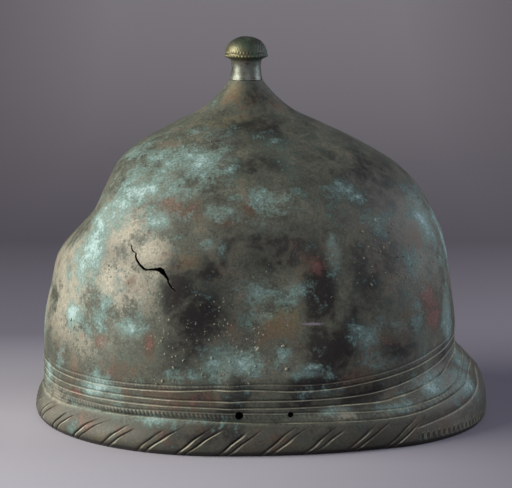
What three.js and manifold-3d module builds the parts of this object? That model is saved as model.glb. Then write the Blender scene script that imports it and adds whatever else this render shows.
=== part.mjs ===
// Raised bronze helmet with a separately cast crest knob and a ring under its neck guard.
// Lengths are millimetres, +Z is up, the brow faces -X and the neck guard faces +X.
// Every length outwards is measured from the upright axis through the knob.
import * as THREE from 'three';
import { mergeVertices } from 'three/addons/utils/BufferGeometryUtils.js';
import Module from 'manifold-3d';

const wasm = await Module();
wasm.setup();

// Foot of the bowl's wall
const wallFrontReach = 116;
const wallBackReach = 119;
const wallHalfWidth = 99;
const widestPlaceForward = 14;
const wallThickness = 1.8;

// Rim, which spreads beyond the wall's foot and, at the back, into the neck guard
const rimFrontSpread = 5;
const rimSideSpread = 6.5;
const guardSpread = 18.5;
const rimFrontReach = wallFrontReach + rimFrontSpread;
const rimBackReach = wallBackReach + guardSpread;
const rimHalfWidth = wallHalfWidth + rimSideSpread;
const rimThickness = 4.5;
const rimFootWidth = 3.5;
const rimHeight = 18;
const guardHeight = 40;

// Crown, where the wall draws in to the knob's seat
const crownHeight = 188.7;
const neckRadius = 9.2;
const crownBore = 5.5;
const crownThickness = 4.7;
const crownInnerRadius = 15;
const crownInnerDrop = 10.5;
const innerCrownClearance = 5.4;

// Crest knob, from its foot on the crown to its top
const seatGap = 0.3;
const knobWaistRadius = 8.3;
const knobWaistRise = 6.1;
const knobTaperShare = 0.7;
const knobCollarRadius = 8.7;
const knobCollarRise = 10.8;
const capRadius = 12.1;
const capRise = 13.4;
const capBeadRadius = 1.1;
const knobHeight = 24;
const capThickness = 3;
const capHoleRadius = 2.4;

// Lead core that fills the knob and locks it under the crown
const coreClearance = 0.3;
const coreFlangeRadius = 12;
const coreFlangeDepth = 6;
const coreTipShare = 0.75;
const crestSocketRadius = 1.9;
const crestSocketDepth = 14;

// Pairs of leaning grooves that make the rim look like a cable
const cablePitch = 22.7;
const cablePairSpacing = 6.8;
const cableLean = 18.5;
const cableFootHeight = 2.6;
const cableTopHeight = 15.4;
const grooveWidth = 2.4;
const grooveDepth = 1.2;
const grooveProud = 0.8;
const grooveEndDepth = 0.25;
const cableGuardReach = 113.5;
const cableBowShare = 0.4;

// Holes where the cheek pieces' hinges were riveted
const rivetHoleHeight = 20.8;
const wideRivetRadius = 2.2;
const wideRivetPlace = -3.3;
const narrowRivetRadius = 1.5;
const narrowRivetPlace = 23.7;

// Hole, pin and ring under the middle of the neck guard
const pinHeight = 26;
const pinRadius = 1.4;
const pinClearance = 0.3;
const pinHeadRadius = 2.5;
const pinHeadDepth = 1.1;
const eyeRadius = 2.5;
const eyeWireRadius = 0.8;
const ringRadius = 8.5;
const ringWireRadius = 1.1;

// Dents beaten into the bowl: how far each goes in, or stands out where a fold was raised beside it
const browDentDepth = 15.7;
const browFlatDepth = 3;
const sideDentDepth = 8;
const sideFoldDepth = -1.6;

// Middle and half extent of each dent, as shares of the wall's front reach, half width and crown height
const browDentShares = { centre: [-0.845, 0.01, 0.665], extent: [0.603, 0.727, 0.212] };
const browFlatShares = { centre: [-0.966, 0, 0.477], extent: [0.517, 0.909, 0.233] };
const sideDentShares = { centre: [0.052, -0.97, 0.392], extent: [0.448, 0.404, 0.201] };
const sideFoldShares = { centre: [-0.069, -0.99, 0.18], extent: [0.078, 0.242, 0.106] };

// Crack torn through the wall on the dented side, at its widest
const crackGap = 1.9;

// Its path: shares of the front reach and of the crown height, and of its widest gap
const crackShares = [
  [-0.52, 0.571, 0.21],
  [-0.504, 0.557, 0.47],
  [-0.492, 0.551, 0.42],
  [-0.495, 0.541, 0.53],
  [-0.478, 0.523, 0.63],
  [-0.447, 0.509, 0.68],
  [-0.413, 0.513, 0.79],
  [-0.381, 0.517, 1],
  [-0.364, 0.505, 0.68],
  [-0.343, 0.487, 0.47],
  [-0.329, 0.467, 0.37],
  [-0.306, 0.453, 0.21],
];

// Overrun of every cutting tool past the face that it cuts
const overrun = 6;

// How far the wall still stands out at each share of the crown's height
const wallShares = [
  [0, 1],
  [0.19, 0.998],
  [0.37, 0.981],
  [0.477, 0.956],
  [0.556, 0.919],
  [0.636, 0.852],
  [0.7, 0.778],
  [0.753, 0.684],
  [0.795, 0.564],
  [0.837, 0.427],
  [0.874, 0.293],
  [0.911, 0.158],
  [0.954, 0.067],
  [1, 0],
];

// How far the rim has spread at each share of its height
const spreadShares = [
  [0, 0.6],
  [0.06, 0.79],
  [0.14, 0.93],
  [0.25, 1],
  [0.38, 0.96],
  [0.5, 0.87],
  [0.63, 0.71],
  [0.76, 0.48],
  [0.87, 0.25],
  [0.94, 0.1],
  [1, 0],
];

// Squareness of the plan: 2 is an ellipse
const frontPower = 2;
const backPower = 2.35;
const crownPower = 2;

// Share of the length from the side to the back at which the guard starts to rise
const guardStartShare = 0.25;
const guardRisePower = 1.5;

// Fineness of the surfaces
const columns = 72;
const upperRows = 17;
const innerStep = 2;
const ringSteps = 28;
const wireSides = 10;
const latheSteps = 40;
const grooveStations = 4;
const domeSteps = 8;
const holeSides = 20;
const shankSides = 16;
const curveSteps = 400;
const profileSteps = 200;
const rimSteps = 720;
const angleStep = 1e-3;
const heightStep = 1e-3;
const weldDistance = 1e-4;

// A smooth curve through a table of shares, read at one share
function shareCurve(shares) {
  const curve = new THREE.SplineCurve(shares.map(([at, value]) => new THREE.Vector2(at, value)));
  const dense = curve.getPoints(curveSteps);
  return (share) => {
    const next = dense.findIndex((point) => point.x >= share);
    if (next === 0) {
      return dense[0].y;
    }
    if (next < 0) {
      return dense[dense.length - 1].y;
    }
    const low = dense[next - 1];
    const high = dense[next];
    return THREE.MathUtils.mapLinear(share, low.x, high.x, low.y, high.y);
  };
}

const wallShareAt = shareCurve(wallShares);
const spreadShareAt = shareCurve(spreadShares);

// One point of a plan outline: half an oval to the front and half to the back of its widest place
function planPoint(angle, front, back, halfWidth, forward, power) {
  const along = Math.cos(angle);
  const across = Math.sin(angle);
  const length = along > 0 ? back + forward : front - forward;
  const sum = Math.abs(along / length) ** power + Math.abs(across / halfWidth) ** power;
  const reach = sum ** (-1 / power);
  return new THREE.Vector2(reach * along - forward, reach * across);
}

// Height at which the wall starts to spread into the rim or the guard
function flareHeight(angle) {
  const share = (Math.cos(angle) - guardStartShare) / (1 - guardStartShare);
  return rimHeight + (guardHeight - rimHeight) * Math.max(share, 0) ** guardRisePower;
}

function wallPlan(angle, height) {
  const share = wallShareAt(height / crownHeight);
  const grow = (reach) => neckRadius + (reach - neckRadius) * share;
  const sidePower = Math.cos(angle) > 0 ? backPower : frontPower;
  const power = crownPower + (sidePower - crownPower) * share;
  const forward = widestPlaceForward * share;
  return planPoint(angle, grow(wallFrontReach), grow(wallBackReach), grow(wallHalfWidth), forward, power);
}

function rimPlan(angle) {
  const power = Math.cos(angle) > 0 ? backPower : frontPower;
  return planPoint(angle, rimFrontReach, rimBackReach, rimHalfWidth, widestPlaceForward, power);
}

// A dent in real lengths, with the direction that it was pushed in
function dentOf({ centre, extent }, depth, direction) {
  const sizes = [wallFrontReach, wallHalfWidth, crownHeight];
  return {
    centre: centre.map((share, index) => share * sizes[index]),
    extent: extent.map((share, index) => share * sizes[index]),
    push: new THREE.Vector3(...direction).multiplyScalar(depth),
  };
}

const dents = [
  dentOf(browDentShares, browDentDepth, [1, 0, 0]),
  dentOf(browFlatShares, browFlatDepth, [1, 0, 0]),
  dentOf(sideDentShares, sideDentDepth, [0, 1, 0]),
  dentOf(sideFoldShares, sideFoldDepth, [0, 1, 0]),
];

// Moves a point in by every dent that it lies in
function dented(point) {
  for (const { centre, extent, push } of dents) {
    const [x, y, z] = centre;
    const [along, across, up] = extent;
    const apart = Math.hypot((point.x - x) / along, (point.y - y) / across, (point.z - z) / up);
    point.addScaledVector(push, Math.max(1 - apart * apart, 0) ** 2);
  }
  return point;
}

// The bowl's outer surface
function outerPoint(angle, height) {
  const plan = wallPlan(angle, height);
  const flare = flareHeight(angle);
  if (height < flare) {
    const spread = rimPlan(angle).sub(wallPlan(angle, 0));
    plan.addScaledVector(spread, spreadShareAt(height / flare));
  }
  return dented(new THREE.Vector3(plan.x, plan.y, height));
}

function outerNormal(angle, height) {
  const low = Math.max(height - heightStep, 0);
  const high = Math.min(height + heightStep, crownHeight);
  const around = outerPoint(angle + angleStep, height).sub(outerPoint(angle - angleStep, height));
  const up = outerPoint(angle, high).sub(outerPoint(angle, low));
  return around.cross(up).normalize();
}

function innerPoint(angle, height, thickness) {
  return outerPoint(angle, height).addScaledVector(outerNormal(angle, height), -thickness);
}

// Inner edge of the flat foot that the rim stands on
function footPoint(angle) {
  const outward = outerNormal(angle, 0).setZ(0).normalize();
  return outerPoint(angle, 0).addScaledVector(outward, -rimFootWidth);
}

// Joins rings of points, each with as many points, into one skin that closes on itself both ways
function skinOfRings(rings) {
  const positions = rings.flatMap((ring) => ring.flatMap((point) => point.toArray()));
  const triangles = [];
  rings.forEach((ring, row) => {
    const nextRow = (row + 1) % rings.length;
    ring.forEach((point, column) => {
      const nextColumn = (column + 1) % ring.length;
      const a = row * ring.length + column;
      const b = row * ring.length + nextColumn;
      const c = nextRow * ring.length + nextColumn;
      const d = nextRow * ring.length + column;
      triangles.push(a, b, c, a, c, d);
    });
  });
  const geometry = new THREE.BufferGeometry();
  geometry.setAttribute('position', new THREE.Float32BufferAttribute(positions, 3));
  geometry.setIndex(triangles);
  return geometry;
}

// Thickness of the metal at a share of the flare's height: it grows towards the cast rim
function flareThickness(share) {
  return wallThickness + (rimThickness - wallThickness) * (1 - share) ** 2;
}

function ringOf(pointAt) {
  return Array.from({ length: columns }, (unused, column) => pointAt((2 * Math.PI * column) / columns));
}

// Shares of the way from the top of the flare to the crown, even along the wall's profile
function upperHeightShares() {
  const profile = new THREE.SplineCurve(
    wallShares.map(([at, value]) => new THREE.Vector2(value * wallBackReach, at * crownHeight)),
  );
  const heights = profile.getSpacedPoints(profileSteps).map((point) => point.y / crownHeight);
  const above = heights.filter((share) => share * crownHeight > guardHeight);
  const pick = (row) => above[Math.round((row / upperRows) * (above.length - 1))];
  const start = guardHeight / crownHeight;
  return Array.from({ length: upperRows }, (unused, row) => (pick(row + 1) - start) / (1 - start));
}

function shellGeometry() {
  const rings = [];
  for (const [share] of spreadShares) {
    rings.push(ringOf((angle) => outerPoint(angle, share * flareHeight(angle))));
  }
  const heightAt = (angle, share) => flareHeight(angle) + (crownHeight - flareHeight(angle)) * share;
  const shares = upperHeightShares();
  for (const share of shares) {
    rings.push(ringOf((angle) => outerPoint(angle, heightAt(angle, share))));
  }
  const circle = (radius, height) =>
    ringOf((angle) => new THREE.Vector3(radius * Math.cos(angle), radius * Math.sin(angle), height));
  rings.push(circle(crownBore, crownHeight));
  rings.push(circle(crownBore, crownHeight - crownThickness));
  rings.push(circle(crownInnerRadius, crownHeight - crownInnerDrop));
  const innerShares = shares.filter((share, row) => row % innerStep === 0);
  const lowEnough = (share) => heightAt(0, share) < crownHeight - crownInnerDrop - innerCrownClearance;
  for (const share of innerShares.filter(lowEnough).reverse()) {
    rings.push(ringOf((angle) => innerPoint(angle, heightAt(angle, share), wallThickness)));
  }
  const lowerShares = spreadShares.map(([share]) => share).filter((share, row) => row % innerStep === 0);
  for (const share of lowerShares.slice(1).reverse()) {
    const thickness = flareThickness(share);
    rings.push(ringOf((angle) => innerPoint(angle, share * flareHeight(angle), thickness)));
  }
  rings.push(ringOf(footPoint));
  return skinOfRings(rings);
}

// Turns a geometry into a solid that can be joined and cut
function solidOf(geometry) {
  const bare = geometry.index ? geometry.clone() : geometry;
  bare.deleteAttribute('normal');
  bare.deleteAttribute('uv');
  const merged = mergeVertices(bare, weldDistance);
  const mesh = new wasm.Mesh({
    numProp: 3,
    vertProperties: Float32Array.from(merged.attributes.position.array),
    triVerts: Uint32Array.from(merged.index.array),
  });
  return new wasm.Manifold(mesh);
}

function geometryOf(solid) {
  const mesh = solid.getMesh();
  const geometry = new THREE.BufferGeometry();
  geometry.setAttribute('position', new THREE.BufferAttribute(mesh.vertProperties, mesh.numProp));
  geometry.setIndex(new THREE.BufferAttribute(mesh.triVerts, 1));
  return geometry;
}

// Angles at even steps of length along the rim, from one end of the guard round the front to the other
function cableAngles() {
  const guardAngle = Math.acos(cableGuardReach / rimBackReach);
  const path = [];
  let length = 0;
  let last = rimPlan(guardAngle);
  for (let step = 0; step <= rimSteps; step += 1) {
    const angle = guardAngle + ((2 * Math.PI - 2 * guardAngle) * step) / rimSteps;
    const point = rimPlan(angle);
    length += point.distanceTo(last);
    last = point;
    path.push({ angle, length });
  }
  const angleAt = (distance) => path.find((entry) => entry.length >= distance).angle;
  const pairs = Math.floor((length - cableLean - cablePairSpacing) / cablePitch);
  const margin = (length - cableLean - cablePairSpacing - pairs * cablePitch) / 2;
  const starts = [];
  for (let pair = 0; pair <= pairs; pair += 1) {
    starts.push(margin + pair * cablePitch, margin + pair * cablePitch + cablePairSpacing);
  }
  return starts.map((start) => [angleAt(start), angleAt(start + cableLean)]);
}

// A three-cornered bar that follows the rim's face from the foot of one groove to its top
function grooveTool([footAngle, topAngle]) {
  const rings = [];
  for (let station = 0; station < grooveStations; station += 1) {
    const share = station / (grooveStations - 1);
    const angle = THREE.MathUtils.lerp(footAngle, topAngle, share);
    const climb = share * (cableBowShare + 1 - cableBowShare * share);
    const height = THREE.MathUtils.lerp(cableFootHeight, cableTopHeight, climb);
    const face = outerPoint(angle, height);
    const normal = outerNormal(angle, height);
    const side = new THREE.Vector3(normal.y, -normal.x, 0).normalize();
    const tangent = side.cross(normal).normalize();
    const depth = THREE.MathUtils.lerp(grooveEndDepth, grooveDepth, Math.sin(share * Math.PI));
    const flank = (grooveWidth / 2) * (1 + grooveProud / depth);
    const across = Math.min(flank, grooveWidth);
    rings.push([
      face.clone().addScaledVector(normal, grooveProud).addScaledVector(tangent, -across),
      face.clone().addScaledVector(normal, -depth),
      face.clone().addScaledVector(normal, grooveProud).addScaledVector(tangent, across),
    ]);
  }
  return prismOf(rings);
}

// A closed bar through rings of corners, with its two ends capped
function prismOf(rings) {
  const corners = rings[0].length;
  const positions = rings.flatMap((ring) => ring.flatMap((point) => point.toArray()));
  const triangles = [];
  for (let row = 0; row + 1 < rings.length; row += 1) {
    for (let corner = 0; corner < corners; corner += 1) {
      const next = (corner + 1) % corners;
      const a = row * corners + corner;
      const b = row * corners + next;
      triangles.push(a, b, b + corners, a, b + corners, a + corners);
    }
  }
  const lastRow = (rings.length - 1) * corners;
  for (let corner = 1; corner + 1 < corners; corner += 1) {
    triangles.push(0, corner + 1, corner);
    triangles.push(lastRow, lastRow + corner, lastRow + corner + 1);
  }
  const geometry = new THREE.BufferGeometry();
  geometry.setAttribute('position', new THREE.Float32BufferAttribute(positions, 3));
  geometry.setIndex(triangles);
  return geometry;
}

// A solid whose skin may have been wound inwards, turned the right way
function outwardSolid(geometry) {
  const solid = solidOf(geometry);
  if (solid.volume() > 0) {
    return solid;
  }
  const index = geometry.index.array;
  for (let corner = 0; corner < index.length; corner += 3) {
    const swapped = index[corner];
    index[corner] = index[corner + 1];
    index[corner + 1] = swapped;
  }
  return solidOf(geometry);
}

// Each rivet hole goes through both walls, because the helmet has a cheek piece on each side
function rivetHole(radius, place) {
  const geometry = new THREE.CylinderGeometry(radius, radius, 2 * (rimHalfWidth + overrun), holeSides);
  geometry.translate(place, 0, rivetHoleHeight);
  return solidOf(geometry);
}

// The crack's outline, seen square to the side of the bowl, as a slit of changing width
function crackTool() {
  const path = crackShares.map(([along, up]) => new THREE.Vector2(along * wallFrontReach, up * crownHeight));
  const sides = path.map((point, index) => {
    const before = path[Math.max(index - 1, 0)];
    const after = path[Math.min(index + 1, path.length - 1)];
    const along = after.clone().sub(before).normalize();
    const [, , gapShare] = crackShares[index];
    return new THREE.Vector2(-along.y, along.x).multiplyScalar((gapShare * crackGap) / 2);
  });
  const upper = path.map((point, index) => point.clone().add(sides[index]));
  const lower = path.map((point, index) => point.clone().sub(sides[index]));
  const shape = new THREE.Shape([...upper, ...lower.reverse()]);
  const geometry = new THREE.ExtrudeGeometry(shape, { depth: wallHalfWidth + overrun, bevelEnabled: false });
  geometry.rotateX(Math.PI / 2);
  return solidOf(geometry);
}

// Where the pin passes the guard: the outer face, the way out of it and the depth of its inner end
function pinSeat() {
  const face = outerPoint(0, pinHeight);
  const normal = outerNormal(0, pinHeight);
  const depth = flareThickness(pinHeight / guardHeight) + pinClearance;
  return { face, normal, depth };
}

// Points a geometry that stands on +Z along a direction and moves it to a place
function aim(geometry, place, direction) {
  const turn = new THREE.Quaternion().setFromUnitVectors(new THREE.Vector3(0, 0, 1), direction);
  geometry.applyQuaternion(turn);
  geometry.translate(place.x, place.y, place.z);
  return geometry;
}

// Lathes a profile of radius and height about +Z
function turned(profile, steps) {
  const points = profile.map(([radius, height]) => new THREE.Vector2(radius, height));
  const geometry = new THREE.LatheGeometry(points, steps);
  geometry.rotateX(Math.PI / 2);
  return geometry;
}

// The pin's hole, with the sunk seat that its hammered head fills
function pinHole() {
  const { face, normal, depth } = pinSeat();
  const hole = pinRadius + pinClearance;
  const seat = pinHeadRadius + pinClearance;
  const slope = (seat - hole) / pinHeadDepth;
  const inside = -depth - overrun;
  const profile = [
    [0, inside],
    [hole, inside],
    [hole, -pinHeadDepth - pinClearance],
    [seat + slope * overrun, overrun],
    [0, overrun],
  ];
  return solidOf(aim(turned(profile, holeSides), face, normal));
}

function bowl() {
  let solid = outwardSolid(shellGeometry());
  for (const angles of cableAngles()) {
    solid = solid.subtract(outwardSolid(grooveTool(angles)));
  }
  solid = solid.subtract(rivetHole(wideRivetRadius, wideRivetPlace));
  solid = solid.subtract(rivetHole(narrowRivetRadius, narrowRivetPlace));
  solid = solid.subtract(crackTool());
  solid = solid.subtract(pinHole());
  return geometryOf(solid);
}

// Hollow cast knob: waisted stem, collar, beaded cap rim and rounded cap
function crestKnob() {
  const dome = [];
  const cap = knobHeight - capRise;
  const holeShare = Math.acos(capHoleRadius / capRadius) / (Math.PI / 2);
  for (let step = 1; step <= domeSteps; step += 1) {
    const turn = ((step / domeSteps) * holeShare * Math.PI) / 2;
    dome.push([capRadius * Math.cos(turn), capRise + cap * Math.sin(turn)]);
  }
  const profile = [
    [crownBore, 0],
    [neckRadius, 0],
    [THREE.MathUtils.lerp(neckRadius, knobWaistRadius, knobTaperShare), knobWaistRise / 2],
    [knobWaistRadius, knobWaistRise],
    [knobCollarRadius, knobCollarRise],
    [capRadius - capBeadRadius, capRise - capBeadRadius],
    [capRadius, capRise - capBeadRadius / 2],
    [capRadius, capRise],
    ...dome,
    [capHoleRadius, knobHeight - capThickness],
    [crownBore, knobHeight - capThickness * 2],
    [crownBore, 0],
  ];
  const geometry = turned(profile, latheSteps);
  geometry.translate(0, 0, crownHeight + seatGap);
  return geometry;
}

// Lead poured into the knob: it spreads under the crown and takes the crest's pin from above
function knobCore() {
  const radius = crownBore - coreClearance;
  const crownUnder = crownHeight - crownThickness;
  const slope = (crownInnerDrop - crownThickness) / (crownInnerRadius - crownBore);
  const under = (reach) => crownUnder - slope * (reach - crownBore) - coreClearance * 2;
  const top = crownHeight + seatGap + knobHeight - capThickness * 2 - coreClearance;
  const profile = [
    [0, under(coreFlangeRadius) - coreFlangeDepth],
    [coreFlangeRadius * coreTipShare, under(coreFlangeRadius) - coreFlangeDepth * coreTipShare],
    [coreFlangeRadius, under(coreFlangeRadius)],
    [radius, under(radius)],
    [radius, top],
    [crestSocketRadius, top],
    [crestSocketRadius, top - crestSocketDepth],
    [0, top - crestSocketDepth],
  ];
  return turned(profile, latheSteps);
}

// A round wire bent into a closed ring about +Y
function wireRing(radius, wireRadius) {
  const geometry = new THREE.TorusGeometry(radius, wireRadius, wireSides, ringSteps);
  geometry.rotateX(Math.PI / 2);
  return geometry;
}

// The middle of the pin's eye, which the ring hangs from
function eyeCentre() {
  const { face, normal, depth } = pinSeat();
  return face.clone().addScaledVector(normal, -depth - eyeRadius - eyeWireRadius);
}

function neckRingPin() {
  const { face, normal, depth } = pinSeat();
  const eye = wireRing(eyeRadius, eyeWireRadius);
  const centre = eyeCentre();
  eye.translate(centre.x, centre.y, centre.z);
  const shank = [
    [0, -depth - eyeWireRadius],
    [pinRadius, -depth - eyeWireRadius],
    [pinRadius, -pinHeadDepth],
    [pinHeadRadius, 0],
    [0, 0],
  ];
  const pin = solidOf(aim(turned(shank, shankSides), face, normal));
  return geometryOf(outwardSolid(eye).add(pin));
}

function neckRing() {
  const geometry = wireRing(ringRadius, ringWireRadius);
  geometry.rotateZ(Math.PI / 2);
  const centre = eyeCentre();
  geometry.translate(centre.x, centre.y, centre.z - ringRadius);
  return geometry;
}

const finishes = {
  bronze: { color: 0x56655c, roughness: 0.62, metalness: 0.5 },
  knobBronze: { color: 0x4c5546, roughness: 0.5, metalness: 0.6 },
  lead: { color: 0x5d5f61, roughness: 0.75, metalness: 0.4 },
  pinBronze: { color: 0x3c3a33, roughness: 0.7, metalness: 0.4 },
};

function piece(name, geometry, finish) {
  const mesh = new THREE.Mesh(geometry, new THREE.MeshStandardMaterial(finishes[finish]));
  mesh.name = name;
  return mesh;
}

const helmet = new THREE.Group();
helmet.name = 'helmet';
helmet.position.x = (rimFrontReach - rimBackReach) / 2;
helmet.add(piece('bowl', bowl(), 'bronze'));
helmet.add(piece('crest_knob', crestKnob(), 'knobBronze'));
helmet.add(piece('knob_core', knobCore(), 'lead'));
helmet.add(piece('neck_ring_pin', neckRingPin(), 'pinBronze'));
helmet.add(piece('neck_ring', neckRing(), 'pinBronze'));

export default helmet;
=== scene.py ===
# Looks of the dented bronze helmet: metres, +Z up, brow towards -X, neck guard towards +X.
import math
import bpy
import numpy as np
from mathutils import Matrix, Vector


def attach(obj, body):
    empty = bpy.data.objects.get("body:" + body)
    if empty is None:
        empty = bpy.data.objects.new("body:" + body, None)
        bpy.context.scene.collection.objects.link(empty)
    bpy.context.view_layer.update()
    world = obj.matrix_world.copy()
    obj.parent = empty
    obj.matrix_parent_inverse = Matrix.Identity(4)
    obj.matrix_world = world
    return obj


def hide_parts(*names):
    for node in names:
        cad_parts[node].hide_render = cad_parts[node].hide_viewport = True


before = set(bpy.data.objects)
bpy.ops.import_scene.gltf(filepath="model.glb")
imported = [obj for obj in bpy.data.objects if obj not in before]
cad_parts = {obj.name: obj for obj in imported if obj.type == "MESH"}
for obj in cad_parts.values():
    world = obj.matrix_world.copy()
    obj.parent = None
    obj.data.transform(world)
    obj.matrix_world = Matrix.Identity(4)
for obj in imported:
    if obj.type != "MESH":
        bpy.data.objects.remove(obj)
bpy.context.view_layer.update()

# Sizes in millimetres, measured from the upright axis through the knob, as in the part
MM = 0.001
WALL_FRONT, WALL_BACK, WALL_HALF, WIDEST_FORWARD = 116, 119, 99, 14
RIM_FRONT, RIM_BACK, RIM_HALF = 121, 137.5, 105.5
WALL_THICKNESS, RIM_THICKNESS, RIM_FOOT = 1.8, 4.5, 3.5
RIM_HEIGHT, GUARD_HEIGHT, CROWN_HEIGHT, NECK_RADIUS = 18, 40, 188.7, 9.2
CROWN_BORE, CROWN_THICKNESS, CROWN_INNER_RADIUS, CROWN_INNER_DROP = 5.5, 4.7, 15, 10.5
FRONT_POWER, BACK_POWER, CROWN_POWER = 2, 2.35, 2
GUARD_START, GUARD_RISE = 0.25, 1.5
AXIS = (RIM_FRONT - RIM_BACK) / 2
CABLE_PITCH, CABLE_LEAN, CABLE_REACH = 22.7, 18.5, 113.5
CABLE_PAIR_FOOT, CABLE_PAIR_TOP = 5.0, 7.6
CABLE_FOOT, CABLE_TOP = 2.6, 15.4
# The edge of the guard stands upright where the rest of the rim curls under: how far, up to what share
# of the rim's height, and the cosines from the back at which it starts and is full
UPRIGHT_REACH, UPRIGHT_TOP, UPRIGHT_START, UPRIGHT_FULL = 0.3, 0.25, 0.66, 0.78
# Rivet holes through both sides, by radius and place behind the knob's axis, and their height
RIVET_HOLES, RIVET_HEIGHT = ((2.2, -3.3), (1.5, 23.7)), 20.8
# Split pin in the middle of the guard, its hole, its eye and the ring that hangs in the eye
PIN_HEIGHT, PIN_HOLE, EYE_RADIUS, EYE_WIRE = 26, 2.8, 2.5, 0.8
RING_RADIUS, RING_WIRE = 8.5, 1.1
# Crest knob on its seat: the cap starts at KNOB_CAP_RISE, and one side of it has been handled
SEAT_GAP = 0.3
KNOB_SEAT = CROWN_HEIGHT + SEAT_GAP
KNOB_HEIGHT, KNOB_CAP_RISE, KNOB_CAP_RADIUS, KNOB_HOLE = 24, 14.7, 11.7, 2.4
HANDLED_WAY = (-0.72, -0.6, -0.5)

# How far the wall stands out up its height, and how far the rim has spread up its own
WALL_SHARES = [(0, 1), (0.19, 0.998), (0.37, 0.981), (0.477, 0.956), (0.556, 0.919),
               (0.636, 0.852), (0.7, 0.778), (0.753, 0.684), (0.795, 0.564), (0.837, 0.427),
               (0.874, 0.293), (0.911, 0.158), (0.954, 0.067), (1, 0)]
SPREAD_SHARES = [(0, 0.6), (0.06, 0.79), (0.14, 0.93), (0.25, 1), (0.38, 0.96), (0.5, 0.87),
                 (0.63, 0.71), (0.76, 0.48), (0.87, 0.25), (0.94, 0.1), (1, 0)]

# Dents: middle, half extents, depth and the way in
DENTS = [((-98.0, 1.0, 125.5), (70.0, 72.0, 40.0), 15.7, (1, 0, 0)),
         ((-112.1, 0.0, 90.0), (60.0, 90.0, 44.0), 3.0, (1, 0, 0)),
         ((6.0, -96.0, 74.0), (52.0, 40.0, 37.9), 8.0, (0, 1, 0)),
         ((-8.0, -98.0, 34.0), (9.0, 24.0, 20.0), -1.6, (0, 1, 0)),
         ((-98.0, 0.0, 111.0), (60.0, 70.0, 27.0), 2.8, (1, 0, 0)),
         ((-64.0, 0.0, 159.0), (34.0, 50.0, 13.0), 2.6, (1, 0, 0))]

# Incised lines round the foot of the wall: degrees from the back, and height there
LINE_HEIGHTS = {
    "cable_edge": [(0, 32), (13, 28.4), (22, 24.2), (31, 20.2), (37, 18), (44, 17), (60, 17.3),
                   (78, 17.3), (103, 18.7), (122, 18.2), (146, 17), (180, 17)],
    "bead_edge": [(0, 36.2), (13, 32.4), (25, 26), (30, 23.6), (38, 21.4), (44, 21), (60, 21.6),
                  (81, 22.3), (103, 22.8), (122, 21.7), (146, 21.3), (180, 21.5)],
    "low": [(0, 40.4), (13, 38), (21, 34.8), (25, 32.8), (35, 28.4), (40, 26.6), (48, 25),
            (81, 25), (103, 25.6), (146, 24.6), (180, 24.6)],
    "middle": [(0, 44.4), (16, 41.2), (27, 37.1), (33, 34.4), (40, 31.4), (48, 29.4), (60, 28.8),
               (81, 28.9), (103, 29), (146, 28.4), (180, 28.4)],
    "high": [(0, 49.5), (15, 46.3), (27, 42.5), (32, 40.5), (39, 38), (49, 35.3), (58, 33.9),
             (68, 33.8), (89, 35.2), (107, 33.6), (125, 32.7), (146, 32.9), (180, 33)],
    "top": [(0, 52.6), (16, 49.3), (25, 46.7), (31, 44.4), (41, 40.4), (58, 37), (81, 37.6),
            (107, 36.2), (125, 35.5), (180, 35.8)],
    "arch_border": [(0, 29.4), (5, 28.2), (9, 25.8), (13, 22.4), (19, 18.4), (26, 14.9), (33, 12.2),
                    (39, 10), (44, 10.4), (50, 11.4), (60, 12.5), (100, 12.5), (180, 12.5)],
}

# Camera: the photograph's frame is 512 by 488, and these are its pixels a millimetre at the knob
IMAGE_WIDTH = 512
CAMERA_RISE = math.radians(9.9)
CAMERA_DISTANCE = 1050
CAMERA_TARGET_HEIGHT = 95
PIXELS_PER_MM = 1.754
AXIS_PIXEL = 246.3
FILM_WIDTH = 36


def linear(code):
    """An sRGB hex colour as linear RGBA."""
    parts = [int(code[i:i + 2], 16) / 255 for i in (1, 3, 5)]
    return [c / 12.92 if c <= 0.04045 else ((c + 0.055) / 1.055) ** 2.4 for c in parts] + [1]


def feed(tree, made, inputs):
    """Sets or links the inputs of a node."""
    for socket, value in inputs.items():
        if isinstance(value, bpy.types.NodeSocket):
            tree.links.new(value, made.inputs[socket])
        else:
            made.inputs[socket].default_value = value


def node(tree, kind, inputs=None, **settings):
    """Adds a node, sets it up, and sets or links its inputs."""
    made = tree.nodes.new(kind)
    for name, value in settings.items():
        setattr(made, name, value)
    feed(tree, made, inputs or {})
    return made


# Sums that the shapes share

def ramp(value, start, end):
    """0 up to the start, 1 from the end on and even between. The end may be below the start."""
    return np.clip((value - start) / (end - start), 0, 1)


def blend(start, end, share):
    return start + (end - start) * share


def ridge(away, width):
    """A rounded ridge along a line: 1 on it and almost 0 two widths away."""
    return np.exp(-(away / width) ** 2)


def even_angles(count):
    return np.arange(count) * 2 * np.pi / count


def inner_shares(count):
    """Even shares of the way between two ends, without the ends."""
    return np.arange(1, count + 1) / (count + 1)


def from_back(angle):
    """Degrees round from the back, below 0 on the near side."""
    return np.degrees((angle + np.pi) % (2 * np.pi) - np.pi)


def run_along(points):
    """Length along a line of points, from its first to each."""
    return np.concatenate([[0], np.cumsum(np.linalg.norm(np.diff(points, axis=0), axis=1))])


def smooth_curve(table, steps=400):
    """Points of a smooth curve through a table, as the part's own curves run."""
    points = np.array(table, float)
    padded = np.vstack([points[0], points, points[-1]])
    place = np.linspace(0, len(points) - 1, steps + 1)
    index = np.minimum(place.astype(int), len(points) - 2)
    w = (place - index)[:, None]
    before, start, end, after = (padded[index + k] for k in range(4))
    a, b = (end - before) / 2, (after - start) / 2
    return ((2 * start - 2 * end + a + b) * w ** 3
            + (-3 * start + 3 * end - 2 * a - b) * w ** 2 + a * w + start)

# The bowl's surface

WALL_CURVE = smooth_curve(WALL_SHARES)
SPREAD_CURVE = smooth_curve(SPREAD_SHARES)


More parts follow.
